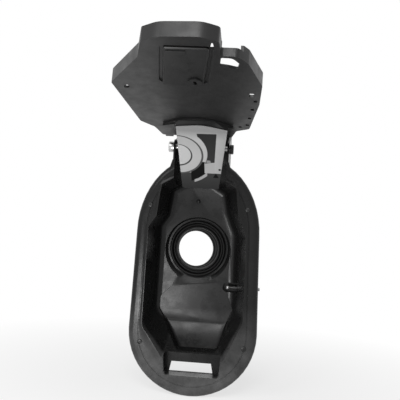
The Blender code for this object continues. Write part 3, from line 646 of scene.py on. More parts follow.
# the floor's corners: the mouth's, drawn in by the draft of each wall
def floorCorners():
    corners = []
    for u, v, radius in mouthCorners():
        shiftU = tray["draftLeft"] if u < 0 else -tray["draftRight"]
        shiftV = 0.0
        if v >= tray["mouthShoulderZ"]:
            shiftV = -tray["draftTop"]
        if v <= tray["mouthRightEndZ"]:
            shiftV = tray["draftSideEnd"]
        if v <= tray["mouthBottomZ"]:
            shiftV = tray["draftBottom"]
        corners.append((u + shiftU, v + shiftV, radius + tray["draftLift"]))
    return corners


# the cavity as a stack of rings; a positive growth gives the outside of its wall
def cavityRings(growth, front):
    mouth = mouthCorners()
    floor = floorCorners()
    bottom = tray["floorDepth"] + growth
    start = -tray["flangeThickness"]
    rings = []
    fillet = tray["floorFillet"] + growth
    for step in range(tray["wallSteps"]):
        y = front + (bottom - fillet - front) * step / tray["wallSteps"]
        share = (y - start) / (tray["floorDepth"] - start)
        level = growCorners(blendCorners(mouth, floor, share), growth)
        rings.append(ringAt(roundCorners(level), y))
    for step in range(tray["filletSteps"] + 1):
        angle = pi / 2 * step / tray["filletSteps"]
        y = bottom - fillet + fillet * sin(angle)
        inset = fillet * (1 - cos(angle))
        share = (y - start) / (tray["floorDepth"] - start)
        level = growCorners(blendCorners(mouth, floor, share), growth - inset)
        rings.append(ringAt(roundCorners(level), y))
    return rings


def latchCorners(growth):
    small = tray["latchCornerRadius"]
    corners = [
        (tray["latchX"] - tray["latchBottomHalf"], tray["latchBottomZ"], small),
        (tray["latchX"] + tray["latchBottomHalf"], tray["latchBottomZ"], small),
        (tray["latchX"] + tray["latchTopHalf"], tray["latchTopZ"], small),
        (tray["latchX"] - tray["latchTopHalf"], tray["latchTopZ"], small),
    ]
    return growCorners(corners, growth)


# left and right edges of the bowl at a height
def bowlEdges(z):
    s = tray["bowl"]
    leftLean = (s["footLeft"] - s["left"]) / (s["leftTurn"] - s["footZ"])
    rightLean = (s["right"] - s["footRight"]) / (s["rightTurn"] - s["footZ"])
    left = s["left"] + leftLean * max(0.0, s["leftTurn"] - z)
    right = s["right"] - rightLean * max(0.0, s["rightTurn"] - z)
    return left, right


# outline of the bowl at a height of its rounded bottom
def bowlCorners(low, growth):
    s = tray["bowl"]
    left, right = bowlEdges(low)
    shoulderIn, shoulderDown = s["rightShoulder"]
    kneeIn, kneeDown = s["leftShoulder"]
    places = [
        (left, low),
        (right, low),
        (s["right"], max(s["rightTurn"], low + s["leastSide"])),
        (s["right"] - shoulderIn, s["topZ"] - shoulderDown),
        (s["topRight"], s["topZ"]),
        (s["topLeft"], s["topZ"] - s["topSlope"]),
        (s["left"] + kneeIn, s["topZ"] - kneeDown),
        (s["left"], max(s["leftTurn"], low + s["leastSide"])),
    ]
    return growCorners([(u, v, s["soft"]) for u, v in places], growth)


# the bowl below the filler hole: its bottom curves forward to the latch recess
def bowlSolid(name, growth):
    s = tray["bowl"]
    back = tray["floorDepth"] + s["depth"]
    rings = [ringAt(roundCorners(bowlCorners(s["footZ"], growth + s["draft"])), s["front"])]
    for step in range(s["steps"]):
        angle = radians(90 - s["turn"] * step / (s["steps"] - 1))
        fall = sin(angle)
        y = back - (back - s["footY"]) * fall ** s["curve"]
        low = s["bendZ"] - (s["bendZ"] - s["footZ"]) * fall
        spread = s["draft"] * (back - y) / (back - s["footY"])
        rings.append(ringAt(roundCorners(bowlCorners(low, growth + spread)), y + growth))
    return loft(name, rings)


def flangeSolid():
    front = -tray["flangeThickness"]
    groove = tray["grooveInset"] + tray["grooveWidth"]
    levels = [(tray["flangeSeatInset"], 0.0),
              (tray["flangeEdgeThickness"], tray["flangeEdgeTurn"] / 2)]
    levels += [(tray["flangeEdgeThickness"], tray["flangeEdgeTurn"]), (0.0, tray["flangeEdgeTurn"])]
    for step in range(1, tray["rollSteps"] + 1):
        angle = pi / 2 * step / tray["rollSteps"]
        drop = (tray["flangeThickness"] + tray["flangeEdgeTurn"]) * (1 - sin(angle))
        levels.append((tray["flangeRollWidth"] * (1 - cos(angle)), front + drop))
    levels += [(tray["grooveInset"], front),
               (tray["grooveInset"] + tray["grooveWidth"] / 4, front + tray["grooveDepth"])]
    levels += [(groove - tray["grooveWidth"] / 4, front + tray["grooveDepth"]), (groove, front)]
    rings = [ringAt(flangeOutline(inset), y) for inset, y in levels]
    return loft("housingTray", rings)


def hingeBoxOuter():
    outer = hinge["sweepRadius"] + tray["wall"]
    axis = (hinge["y"], hinge["z"])
    points = arcPoints(axis, outer, *hinge["boxAngles"], hinge["boxSteps"])
    ear = arcPoints(axis, hinge["earRadius"], *hinge["earAngles"], hinge["earSteps"])
    face = -tray["flangeThickness"] + tray["flangeSink"]
    foot = [(face, hinge["z"] - 2 * hinge["earRadius"]), (face, hinge["z"] - hinge["sweepRadius"])]
    frontPoints = [(y, z) for y, z in points if y > face]
    half = hinge["earOuterWidth"] / 2
    return plateYz("hingeBoxOuter", frontPoints + ear + foot, hinge["x"] - half, hinge["x"] + half)


# gusset outside one ear: it starts flush below the pin and flares down to the flange
def earGusset(name, side):
    near = hinge["x"] + side * (hinge["earOuterWidth"] / 2 - hinge["earThickness"] / 2)
    rings = []
    for z, reach in ((hinge["earFlareZ"], hinge["earFlareStart"]),
                     (hinge["earFlareZ"] - hinge["earRadius"], 1.0),
                     (hinge["z"] - hinge["sweepRadius"], 1.0)):
        far = hinge["x"] + side * (hinge["earOuterWidth"] / 2 + hinge["earFlare"] * reach)
        low, high = min(near, far), max(near, far)
        face = -tray["flangeThickness"] + tray["flangeSink"]
        rings.append([(low, face, z), (high, face, z), (high, hinge["y"] + hinge["earRadius"], z),
                      (low, hinge["y"] + hinge["earRadius"], z)])
    return loft(name, rings)


# the shells that are joined to the flange
def trayShells():
    body = loft("cavityOuter", cavityRings(tray["wall"], -tray["flangeThickness"] / 2))
    latch = plateXz("latchOuter", roundCorners(latchCorners(tray["wall"])),
                    -tray["flangeThickness"] / 2, tray["latchDepth"] + tray["wall"])
    lipFront = roundCorners(growCorners(mouthCorners(), tray["lipWidth"] / 2))
    lipFoot = roundCorners(growCorners(mouthCorners(), tray["lipWidth"]))
    lipRings = [ringAt(lipFoot, -tray["flangeThickness"] / 2),
                ringAt(lipFoot, -tray["flangeThickness"])]
    lipRings.append(ringAt(lipFront, -tray["flangeThickness"] - tray["lipHeight"]))
    lip = loft("mouthLip", lipRings)
    niche = plateXz("nicheOuter", roundCorners(nicheCorners(tray["wall"])),
                    tray["floorDepth"] + lock["nicheDepth"] - lock["nicheLength"] - tray["wall"],
                    tray["floorDepth"] + lock["nicheDepth"] + tray["wall"])
    dish = neckDish("dishOuter", tray["wall"], tray["floorDepth"] + tray["wall"] / 2)
    shells = [body, latch, lip, niche, dish]
    shells.append(bowlSolid("bowlOuter", tray["wall"]))
    shells.append(hingeBoxOuter())
    shells.append(earGusset("earGussetLeft", -1))
    shells.append(earGusset("earGussetRight", 1))
    return shells


# the cone of the dish round the filler neck, with its wall's growth
def neckDish(name, growth, front):
    back = tray["floorDepth"] + tray["dishDepth"] + growth
    rings = []
    for y in (front, back):
        share = (y - tray["floorDepth"]) / tray["dishDepth"]
        radius = tray["dishRadius"] + tray["dishSlope"] * (1 - share) + growth
        ring = []
        for step in range(tray["rubberSteps"]):
            angle = 2 * pi * step / tray["rubberSteps"]
            drop = tray["dishDrop"] * (1 - share)
            ring.append((tray["neckX"] + radius * cos(angle), y,
                         tray["neckZ"] - drop + radius * sin(angle)))
        rings.append(ring)
    return loft(name, rings)


# the niche for the lock pin has a round left end
def nicheCorners(growth):
    low = lock["z"] - lock["nicheHalfHeight"]
    high = lock["z"] + lock["nicheHalfHeight"]
    roundEnd = lock["nicheHalfHeight"] * lock["nicheRoundness"]
    squareEnd = lock["nicheCorner"]
    corners = [
        (lock["nicheLeftX"], low, roundEnd),
        (lock["nicheRightX"], low, squareEnd),
        (lock["nicheRightX"], high, squareEnd),
        (lock["nicheLeftX"], high, roundEnd),
    ]
    return growCorners(corners, growth)


# the slot in the latch recess is a little wider at its foot
def latchSlot():
    low = tray["latchBottomZ"] + tray["slotSill"]
    high = low + tray["slotHeight"]
    outline = [(tray["slotX"] - tray["slotBottomHalf"], low),
               (tray["slotX"] + tray["slotBottomHalf"], low)]
    outline += [(tray["slotX"] + tray["slotTopHalf"], high),
                (tray["slotX"] - tray["slotTopHalf"], high)]
    return plateXz("latchSlot", outline, tray["wall"], tray["latchDepth"] + 2 * tray["wall"])


def trayBores():
    seat = tray["floorDepth"] + tray["dishDepth"]
    bores = [cylinderY("neckBore", tray["neckSeatRadius"], seat - 2 * tray["wall"],
                       seat + 3 * tray["wall"], tray["neckX"], tray["neckZ"],
                       steps=tray["rubberSteps"])]
    bores.append(cylinderX("hingePinBore", hinge["pinRadius"] + fit["pinClearance"],
                           hinge["x"] - hinge["earOuterWidth"],
                           hinge["x"] + hinge["earOuterWidth"], hinge["y"], hinge["z"]))
    bores.append(cylinderX("lockBore", lock["bushRadius"] - lock["bushWall"] + fit["seatGap"],
                           lock["nicheRightX"] - fit["cutOverrun"],
                           lock["nicheRightX"] + 2 * fit["cutOverrun"],
                           tray["floorDepth"] - lock["setForward"], lock["z"]))
    for index, (x, z) in enumerate(screwPlaces(), 1):
        bores.append(cylinderY(f"screwBore{index}", fixing["screwShankRadius"] + fit["seatGap"],
                               -tray["flangeThickness"] - fit["cutOverrun"], fit["cutOverrun"], x,
                               z, steps=fixing["screwSteps"]))
    bores.append(cylinderY("clipBore", fixing["clipRadius"] / 2 + fit["seatGap"],
                           tray["floorDepth"] - fit["cutOverrun"],
                           tray["floorDepth"] + 2 * fit["cutOverrun"], fixing["clipX"],
                           fixing["clipZ"], steps=fixing["screwSteps"]))
    return bores


def housingTray():
    recess = flangeSolid()
    for shell in trayShells():
        boolean(recess, shell, "UNION")
    front = -tray["flangeThickness"] - fit["cutOverrun"]
    cavity = loft("cavityInner", cavityRings(0.0, front))
    boolean(recess, cavity, "DIFFERENCE")
    latch = plateXz("latchInner", roundCorners(latchCorners(0.0)), front, tray["latchDepth"])
    boolean(recess, latch, "DIFFERENCE")
    boolean(recess, bowlSolid("bowlInner", 0.0), "DIFFERENCE")
    nicheBack = tray["floorDepth"] + lock["nicheDepth"]
    niche = plateXz("nicheInner", roundCorners(nicheCorners(0.0)), nicheBack - lock["nicheLength"],
                    nicheBack)
    dish = neckDish("dishInner", 0.0, tray["floorDepth"] - tray["dishDepth"])
    half = hinge["earOuterWidth"] / 2 - hinge["earThickness"]
    sweep = cylinderX("armSweep", hinge["sweepRadius"], hinge["x"] - half, hinge["x"] + half,
                      hinge["y"], hinge["z"], steps=hinge["sweepSteps"])
    for tool in [niche, dish, sweep, latchSlot()] + trayBores():
        boolean(recess, tool, "DIFFERENCE")
    return recess


def floorClip():
    stem = fixing["clipRadius"] / 2
    profile = [(0.0, fixing["clipHeight"]),
               (fixing["clipRadius"] * 0.6, fixing["clipHeight"] * 0.85),
               (fixing["clipRadius"], fixing["clipHeight"] * 0.4)]
    profile += [(fixing["clipRadius"], 0.0), (stem, 0.0), (stem, -2 * tray["wall"]),
                (0.0, -2 * tray["wall"] - stem)]
    place = (fixing["clipX"], tray["floorDepth"] - fit["seatGap"], fixing["clipZ"])
    turned("floorClip", profile, fixing["screwSteps"], place, (pi / 2, 0, 0), closed=False)


def hingeHardware():
    left = hinge["x"] - hinge["earOuterWidth"] / 2
    right = hinge["x"] + hinge["earOuterWidth"] / 2
    cylinderX("hingePin", hinge["pinRadius"], left - hinge["bushLength"] - fit["seatGap"],
              right + hinge["capLength"] * hinge["capGrip"], hinge["y"], hinge["z"])
    bore = hinge["pinRadius"] + fit["seatGap"]
    profile = [(bore, 0.0), (hinge["bushRadius"], 0.0),
               (hinge["bushRadius"], hinge["bushLength"] - hinge["ringBevel"])]
    profile += [(hinge["bushRadius"] - hinge["ringBevel"], hinge["bushLength"]),
                (bore, hinge["bushLength"])]
    place = (left - fit["seatGap"], hinge["y"], hinge["z"])
    turned("pinBush", profile, hinge["pinSteps"], place, (0, -pi / 2, 0))
    depth = hinge["capLength"] * hinge["capGrip"] + fit["seatGap"]
    profile = [(bore, 0.0), (hinge["capRadius"], 0.0), (hinge["capRadius"], hinge["capLength"])]
    profile += [(hinge["capRadius"] - hinge["ringBevel"], hinge["capLength"] + hinge["ringBevel"]),
                (0.0, hinge["capLength"] + hinge["ringBevel"])]
    profile += [(0.0, depth), (bore, depth)]
    place = (right + fit["seatGap"], hinge["y"], hinge["z"])
    turned("pinCap", profile, hinge["pinSteps"], place, (0, pi / 2, 0))


def lockHardware():
    lockY = tray["floorDepth"] - lock["setForward"]
    bore = lock["shankRadius"] + fit["pinClearance"]
    sleeve = lock["bushRadius"] - lock["bushWall"]
    end = lock["bushLength"] + tray["wall"] + fit["seatGap"]
    profile = [(bore, -fit["seatGap"] - lock["bushFlange"]),
               (lock["bushRadius"], -fit["seatGap"] - lock["bushFlange"])]
    profile += [(lock["bushRadius"], -fit["seatGap"]), (sleeve, -fit["seatGap"]), (sleeve, end),
                (bore, end)]
    place = (lock["nicheRightX"], lockY, lock["z"])
    turned("lockBush", profile, hinge["pinSteps"], place, (0, pi / 2, 0))
    ball = lock["pinRadius"]
    profile = [(0.0, 0.0)]
    for step in range(1, lock["tipSteps"] - 1):
        angle = pi * (0.5 - step / lock["tipSteps"])
        profile.append((ball * cos(angle), ball * (1 - sin(angle))))
    profile += [(lock["shankRadius"], 2 * ball), (lock["shankRadius"], lock["pinLength"]),
                (0.0, lock["pinLength"])]
    place = (lock["pinTipX"], lockY, lock["z"])
    turned("lockPin", profile, hinge["pinSteps"], place, (0, pi / 2, 0), closed=False)


# the hinge arm is drawn shut and hanging from the pin, and its pivot then opens it
arm = {
    "lean": 33.0,
    "faceOffset": 30.0 * mm,
    "faceDown": 36.0 * mm,
    "sideGap": 6.0 * mm,
    "shift": 1.9 * mm,
    "widening": 0.075,
    "drift": 0.033,
    "wall": 3.0 * mm,
    "tailDepth": 8.0 * mm,
    "bossRadius": 8.0 * mm,
    "bossAngles": (75.0, 210.0),
    "bossSteps": 6,
    "footStart": 20.0 * mm,
    "facePlateThickness": 1.0 * mm,
    "facePlateMargin": 0.3 * mm,
    "facePlateTopGap": 10.5 * mm,
    "facePlateBow": 3.0 * mm,
    "facePlateRadii": (2.0 * mm, 1.0 * mm, 60.0 * mm),
    "screwHalfSpan": 15.0 * mm,
    "screwRows": (28.0 * mm, 39.0 * mm),
    "footPadHalf": 39.0 * mm,
    "footPadX": -2.5 * mm,
    "footPadEndS": 53.0 * mm,
    "footPadLevels": ((21.5 * mm, 1.8 * mm), (12.5 * mm, 3.2 * mm)),
    "footPadTuck": 5.0 * mm,
    "footPadEdge": 0.5 * mm,
    "footPadSteps": 16,
}

spring = {
    "wireRadius": 0.8 * mm,
    "wireGap": 0.4 * mm,
    "turns": 7.5,
    "leg": 8.0 * mm,
    "turnSteps": 16,
}

flap = {
    "x": -5.5 * mm,
    "panelOffset": 11.0 * mm,
    "panelThickness": 2.5 * mm,
    "rimHeight": 13.5 * mm,
    "rimThickness": 2.2 * mm,
    "panelStart": 11.0 * mm,
    "panelEnd": 262.0 * mm,
    "panelBow": 8.0 * mm,
    "tabLeft": -29.5 * mm,
    "tabRight": 35.5 * mm,
    "tabBase": 221.0 * mm,
    "sideHalf": 71.5 * mm,
    "sideTop": 163.0 * mm,
    "sideLowHalf": 60.5 * mm,
    "sideLow": 56.0 * mm,
    "rootHalf": 47.0 * mm,
    "rootLow": 38.0 * mm,
    "rootEndHalf": 41.0 * mm,
    "strapS": 228.0 * mm,
    "strapEnd": 50.0 * mm,
    "strapHeight": 8.0 * mm,
    "shoulderHalf": 59.0 * mm,
    "shoulderS": 214.0 * mm,
    "lugWidth": 9.0 * mm,
    "lugLength": 9.0 * mm,
    "lugHeight": 8.0 * mm,
    "lugShift": 2.5 * mm,
    "latchBoxTop": (-11.5 * mm, 27.0 * mm, 242.0 * mm),
    "latchBoxFoot": (-21.5 * mm, 17.5 * mm, 170.0 * mm),
    "latchBoxRiseTop": 0.8 * mm,
    "latchBoxRiseFoot": 4.0 * mm,
    "latchBoxSlope": 1.0 * mm,
    "latchGrooveWidth": 3.2 * mm,
    "latchGrooveDepth": 1.5 * mm,
    "latchBarWidth": 17.0 * mm,
    "latchBarS": 235.0 * mm,
    "latchBossX": 10.5 * mm,
    "latchBossS": 180.6 * mm,
    "latchBossHalf": (6.6 * mm, 8.7 * mm),
    "latchBossRise": 1.2 * mm,
    # in mm and seen from the inner face: (across, distance from the pin, corner radius)
    "carrierWindows": {
        "arcSlot": ((34.0, 208.0, 1.0), (41.5, 206.2, 6.0), (49.3, 202.5, 1.0),
                    (51.0, 214.0, 3.0), (45.5, 224.2, 6.0), (35.6, 224.6, 1.5)),
        "wedgeWindow": ((26.9, 239.8, 0.6), (30.9, 240.2, 0.6),
                        (30.1, 251.4, 0.6), (28.9, 251.4, 0.4)),
        "leftHole": ((-61.0, 149.5, 1.5), (-55.5, 151.0, 1.5),
                     (-55.5, 158.0, 1.5), (-60.5, 157.0, 1.5)),
        "rightHole": ((59.5, 139.5, 0.8), (64.0, 139.5, 0.8),
                      (64.0, 147.5, 0.8), (59.5, 147.5, 0.8)),
    },
    "clipPockets": ((67.0, 128.0), (64.3, 105.0), (61.5, 79.0), (59.0, 57.5), (51.0, 50.0)),
    "clipPocketWidth": 3.4 * mm,
    "clipPocketLength": 5.0 * mm,
    "clipPocketDepth": 1.4 * mm,
}


# flap pieces are drawn closed and hanging from the pin: local Z is minus the
# distance from the pin, local Y is minus the distance outwards
def armLine(along, inward):
    lean = radians(arm["lean"])
    foot = Vector((arm["faceOffset"] * cos(lean), -arm["faceOffset"] * sin(lean)))
    down = Vector((-sin(lean), -cos(lean)))
    normal = Vector((-cos(lean), sin(lean)))
    point = foot + down * along + normal * inward
    return (point.x, point.y)


# distance along the arm's face, from the point nearest the pin, of a local (y, z) point
def alongOf(y, z):
    lean = radians(arm["lean"])
    foot = Vector((arm["faceOffset"] * cos(lean), -arm["faceOffset"] * sin(lean)))
    return (Vector((y, z)) - foot).dot(Vector((-sin(lean), -cos(lean))))


# left and right edges of the arm at a distance along its face
def armEdges(along, inset):
    middle = hinge["x"] + arm["shift"] + arm["drift"] * along
    half = hinge["earOuterWidth"] / 2 - hinge["earThickness"] - arm["sideGap"]
    half += arm["widening"] * along - inset
    return middle - half, middle + half


# a side profile given the arm's tapering width
def armWedge(name, profile, inset):
    edges = [armEdges(alongOf(y, z), inset) for y, z in profile]
    rings = [[(edge[side], y, z) for edge, (y, z) in zip(edges, profile)] for side in (0, 1)]
    return loft(name, rings)


def footPlane():
    return -flap["panelOffset"] + fit["seatGap"]


def footAlong():
    lean = radians(arm["lean"])
    return (arm["faceOffset"] * cos(lean) - footPlane()) / sin(lean)


# curved end of the arm's crescent foot, from left to right
def footArc(bulge):
    points = []
    for step in range(arm["footPadSteps"] + 1):
        share = -1 + 2 * step / arm["footPadSteps"]
        z = -arm["footPadEndS"] - bulge * (1 - share * share)
        points.append((arm["footPadX"] + arm["footPadHalf"] * share, z))
    return points


# takes the arm's straight end back to just inside the crescent
def footEndTrim():
    arc = [(x, z + arm["footPadEdge"]) for x, z in footArc(arm["footPadLevels"][0][0])]
    far = -flap["panelEnd"]
    points = arc + [(arc[-1][0], far), (arc[0][0], far)]
    return plateXz("footEndTrim", points, footPlane() - fit["cutOverrun"], arm["footPadEndS"])


# one step of the crescent foot that lies on the carrier
def footPad(name, bulge, thickness):
    half = arm["footPadHalf"]
    points = footArc(bulge)
    tuck = -arm["footPadEndS"] + arm["footPadTuck"]
    points += [(arm["footPadX"] + half - arm["footPadTuck"], tuck),
               (arm["footPadX"] - half + arm["footPadTuck"], tuck)]
    return plateXz(name, points, footPlane(), footPlane() + thickness)


def armScrewPlaces():
    middle = hinge["x"] + arm["shift"]
    places = []
    for row in arm["screwRows"]:
        places += [(middle - arm["screwHalfSpan"], -row), (middle + arm["screwHalfSpan"], -row)]
    return places


def armScrewBores():
    bores = []
    for index, (x, z) in enumerate(armScrewPlaces(), 1):
        bore = cylinderY(f"armScrewBore{index}", fixing["screwShankRadius"] + fit["seatGap"],
                         -flap["panelOffset"] - 2 * flap["panelThickness"],
                         footPlane() + 2 * arm["wall"], x, z, steps=fixing["screwSteps"])
        bores.append(bore)
    return bores


def hingeArm(bores, pivot):
    planeY = footPlane()
    end = footAlong()
    boss = arcPoints((0.0, 0.0), arm["bossRadius"], *arm["bossAngles"], arm["bossSteps"])
    outline = [armLine(end, 0.0), armLine(-arm["faceDown"], 0.0),
               armLine(-arm["faceDown"], arm["tailDepth"])]
    outline += boss + [(planeY, -arm["footStart"])]
    channel = armWedge("hingeArm", outline, 0.0)
    innerFoot = armLine(end - 4 * arm["wall"], arm["wall"])
    openSide = 2 * arm["faceDown"]
    hollow = [innerFoot, armLine(-openSide, arm["wall"]), (-openSide, openSide)]
    hollow.append((planeY + arm["wall"], -arm["footStart"] + arm["bossRadius"]))
    hollow.append((planeY + arm["wall"], innerFoot[1] + 4 * arm["wall"]))
    core = armWedge("armHollow", hollow, arm["wall"])
    bore = cylinderX("armBore", hinge["pinRadius"] + fit["pinClearance"],
                     hinge["x"] - hinge["earOuterWidth"], hinge["x"] + hinge["earOuterWidth"], 0.0,
                     0.0)
    endTrim = footEndTrim()
    boolean(channel, endTrim, "DIFFERENCE")
    pads = [endTrim]
    for index, (bulge, thickness) in enumerate(arm["footPadLevels"], 1):
        pads.append(footPad(f"footPad{index}", bulge, thickness))
        boolean(channel, pads[-1], "UNION")
    for tool in [core, bore] + bores:
        boolean(channel, tool, "DIFFERENCE")
    for item in [channel, core, bore] + pads:
        item.parent = pivot
    return channel


def armFacePlate(pivot):
    low = -arm["faceDown"] + arm["facePlateMargin"]
    high = footAlong() - arm["facePlateTopGap"]
    lowLeft, lowRight = armEdges(low, arm["facePlateMargin"])
    highLeft, highRight = armEdges(high, arm["facePlateMargin"])
    wide, tight, bowed = arm["facePlateRadii"]
    outline = [(lowLeft, low, wide), (lowRight, low, wide),
               (highRight, high - arm["facePlateBow"], tight)]
    outline += [((highLeft + highRight) / 2, high + arm["facePlateBow"], bowed),
                (highLeft, high, tight)]
    points = roundCorners(outline)
    rings = []
    for depth in (-fit["seatGap"], -fit["seatGap"] - arm["facePlateThickness"]):
        rings.append([(u, *armLine(v, depth)) for u, v in points])
    plate = loft("armFacePlate", rings)
    plate.parent = pivot
    return plate


# torsion spring round the pin; both legs run to the inside of the arm's face
def flapSpring(pivot):
    turns = spring["turns"]
    count = int(turns * spring["turnSteps"])
    middle = hinge["x"] + arm["shift"]
    pitch = 2 * spring["wireRadius"] + spring["wireGap"]
    start = middle - pitch * turns / 2
    radius = hinge["pinRadius"] + spring["wireRadius"] + fit["seatGap"]
    points = [(start, spring["leg"], radius)]
    for step in range(count + 1):
        angle = pi / 2 + 2 * pi * turns * step / count
        points.append((start + pitch * turns * step / count, radius * cos(angle),
                       radius * sin(angle)))
    points.append((start + pitch * turns, spring["leg"], -radius))
    curve = bpy.data.curves.new("flapSpring", "CURVE")
    curve.dimensions = "3D"
    curve.bevel_depth = spring["wireRadius"]
    curve.bevel_resolution = 2
    curve.use_fill_caps = True
    spline = curve.splines.new("POLY")
    spline.points.add(len(points) - 1)
    for target, point in zip(spline.points, points):
        target.co = (*point, 1.0)
    coil = addObject("flapSpring", curve)
    coil.parent = pivot
    return coil


# corners of the carrier seen from its inner face, as (across, distance from the pin, radius)
def carrierCorners(growth):
    corners = [
        (-flap["rootEndHalf"], flap["panelStart"], 3 * mm),
        (-flap["rootHalf"], flap["rootLow"], 6 * mm),
        (-flap["sideLowHalf"], flap["sideLow"], 6 * mm),
        (-flap["sideHalf"], flap["sideTop"], 8 * mm),
        (flap["tabLeft"] - 7 * mm, flap["tabBase"], 6 * mm),
        (flap["tabLeft"], flap["panelEnd"] - 1.5 * flap["panelBow"], 4 * mm),
        (flap["tabLeft"] / 2, flap["panelEnd"] - flap["panelBow"] / 4, 20 * mm),
        (flap["tabRight"] * 0.6, flap["panelEnd"], 20 * mm),
        (flap["tabRight"], flap["panelEnd"] - flap["panelBow"], 5 * mm),
        (flap["tabRight"], flap["strapS"], 2 * mm),
        (flap["strapEnd"], flap["strapS"], 5 * mm),
        (flap["shoulderHalf"], flap["shoulderS"], 8 * mm),
        (flap["sideHalf"], flap["sideTop"] + 4 * mm, 10 * mm),
        (flap["sideHalf"] - 2 * mm, flap["sideTop"] - 44 * mm, 20 * mm),
        (flap["sideLowHalf"] - 1 * mm, flap["sideLow"] - 12 * mm, 6 * mm),
        (flap["rootHalf"] - 2 * mm, flap["rootLow"] - 3 * mm, 5 * mm),
        (flap["rootEndHalf"] - 2 * mm, flap["panelStart"], 3 * mm),
    ]
    ccw = [(flap["x"] + u, -s, radius) for u, s, radius in corners]
    return growCorners(ccw, growth)


def latchBoxCorners(growth):
    left, right, end = flap["latchBoxTop"]
    lowLeft, lowRight, start = flap["latchBoxFoot"]
    corners = [
        (flap["x"] + left, -end, 2 * mm),
        (flap["x"] + right, -end, 3 * mm),
        (flap["x"] + lowRight, -start, 4 * mm),
        (flap["x"] + lowLeft, -start, 4 * mm),
    ]
    return growCorners(corners, growth)


# a ring of the latch housing: its face slopes up towards the hinge
def latchBoxRing(growth, drop):
    innerFace = -flap["panelOffset"]
    span = flap["latchBoxTop"][2] - flap["latchBoxFoot"][2]
    low, high = flap["latchBoxRiseTop"], flap["latchBoxRiseFoot"]
    ring = []
    for x, z in roundCorners(latchBoxCorners(growth)):
        share = (flap["latchBoxTop"][2] + z) / span
        rise = low + (high - low) * share
        ring.append((x, innerFace + rise - drop, z))
    return ring


def latchBoxTools():
    innerFace = -flap["panelOffset"]
    foot = roundCorners(latchBoxCorners(0.0))
    rings = [ringAt(foot, innerFace - flap["panelThickness"] / 2), ringAt(foot, innerFace)]
    rings.append(latchBoxRing(-flap["latchBoxSlope"], 0.0))
    raised = loft("latchBoxRaise", rings)
    inset = -flap["latchBoxSlope"] - tray["wall"]
    coreFoot = ringAt(roundCorners(latchBoxCorners(inset)),
                      innerFace - flap["rimHeight"] - fit["cutOverrun"])
    core = loft("latchBoxCore", [coreFoot, latchBoxRing(inset, flap["panelThickness"])])
    groovePoints = roundCorners(latchBoxCorners(flap["latchGrooveWidth"]))
    groove = plateXz("latchBoxGroove", groovePoints, innerFace - flap["latchGrooveDepth"],
                     innerFace + fit["cutOverrun"])
    barLow = (flap["x"] + flap["latchBoxTop"][0] + flap["latchBoxSlope"], innerFace,
              -flap["latchBarS"] - flap["latchGrooveWidth"])
    barHigh = (barLow[0] + flap["latchBarWidth"], innerFace + 2 * flap["latchBoxRiseTop"],
               -flap["latchBarS"])
    bar = box("latchBar", barLow, barHigh)
    return raised, core, groove, bar


# oval boss on the latch housing, with a slot across it
def latchBossTools():
    top = -flap["panelOffset"] + flap["latchBoxRiseFoot"]
    halfX, halfZ = flap["latchBossHalf"]
    oval = []
    slot = []
    for step in range(hinge["pinSteps"]):
        angle = 2 * pi * step / hinge["pinSteps"]
        x = flap["x"] + flap["latchBossX"]
        oval.append((x + halfX * cos(angle), -flap["latchBossS"] + halfZ * sin(angle)))
        slot.append((x + halfX / 4 * cos(angle), -flap["latchBossS"] + halfZ / 2 * sin(angle)))
    boss = plateXz("latchBoss", oval, top - 2 * flap["panelThickness"], top + flap["latchBossRise"])
    well = plateXz("latchBossSlot", slot, top - flap["latchBossRise"], top + fit["cutOverrun"])
    return boss, well


# shallow pockets for the skin's clips along the carrier's right edge
def clipPockets():
    tools = []
    face = -flap["panelOffset"]
    places = [(u * mm, s * mm) for u, s in flap["clipPockets"]]
    for index, (across, along) in enumerate(places, 1):
        low = (flap["x"] + across - flap["clipPocketWidth"], face - flap["clipPocketDepth"],
               -along - flap["clipPocketLength"] / 2)
        high = (flap["x"] + across, face + fit["cutOverrun"], -along + flap["clipPocketLength"] / 2)
        tools.append(box(f"clipPocket{index}", low, high))
    return tools


def carrierWindows():
    tools = []
    for name, corners in flap["carrierWindows"].items():
        ccw = [(flap["x"] + u * mm, -s * mm, radius * mm) for u, s, radius in reversed(corners)]
        tools.append(plateXz(name, roundCorners(ccw, 3),
                             -flap["panelOffset"] - 2 * flap["panelThickness"],
                             -flap["panelOffset"] + flap["panelThickness"]))
    return tools


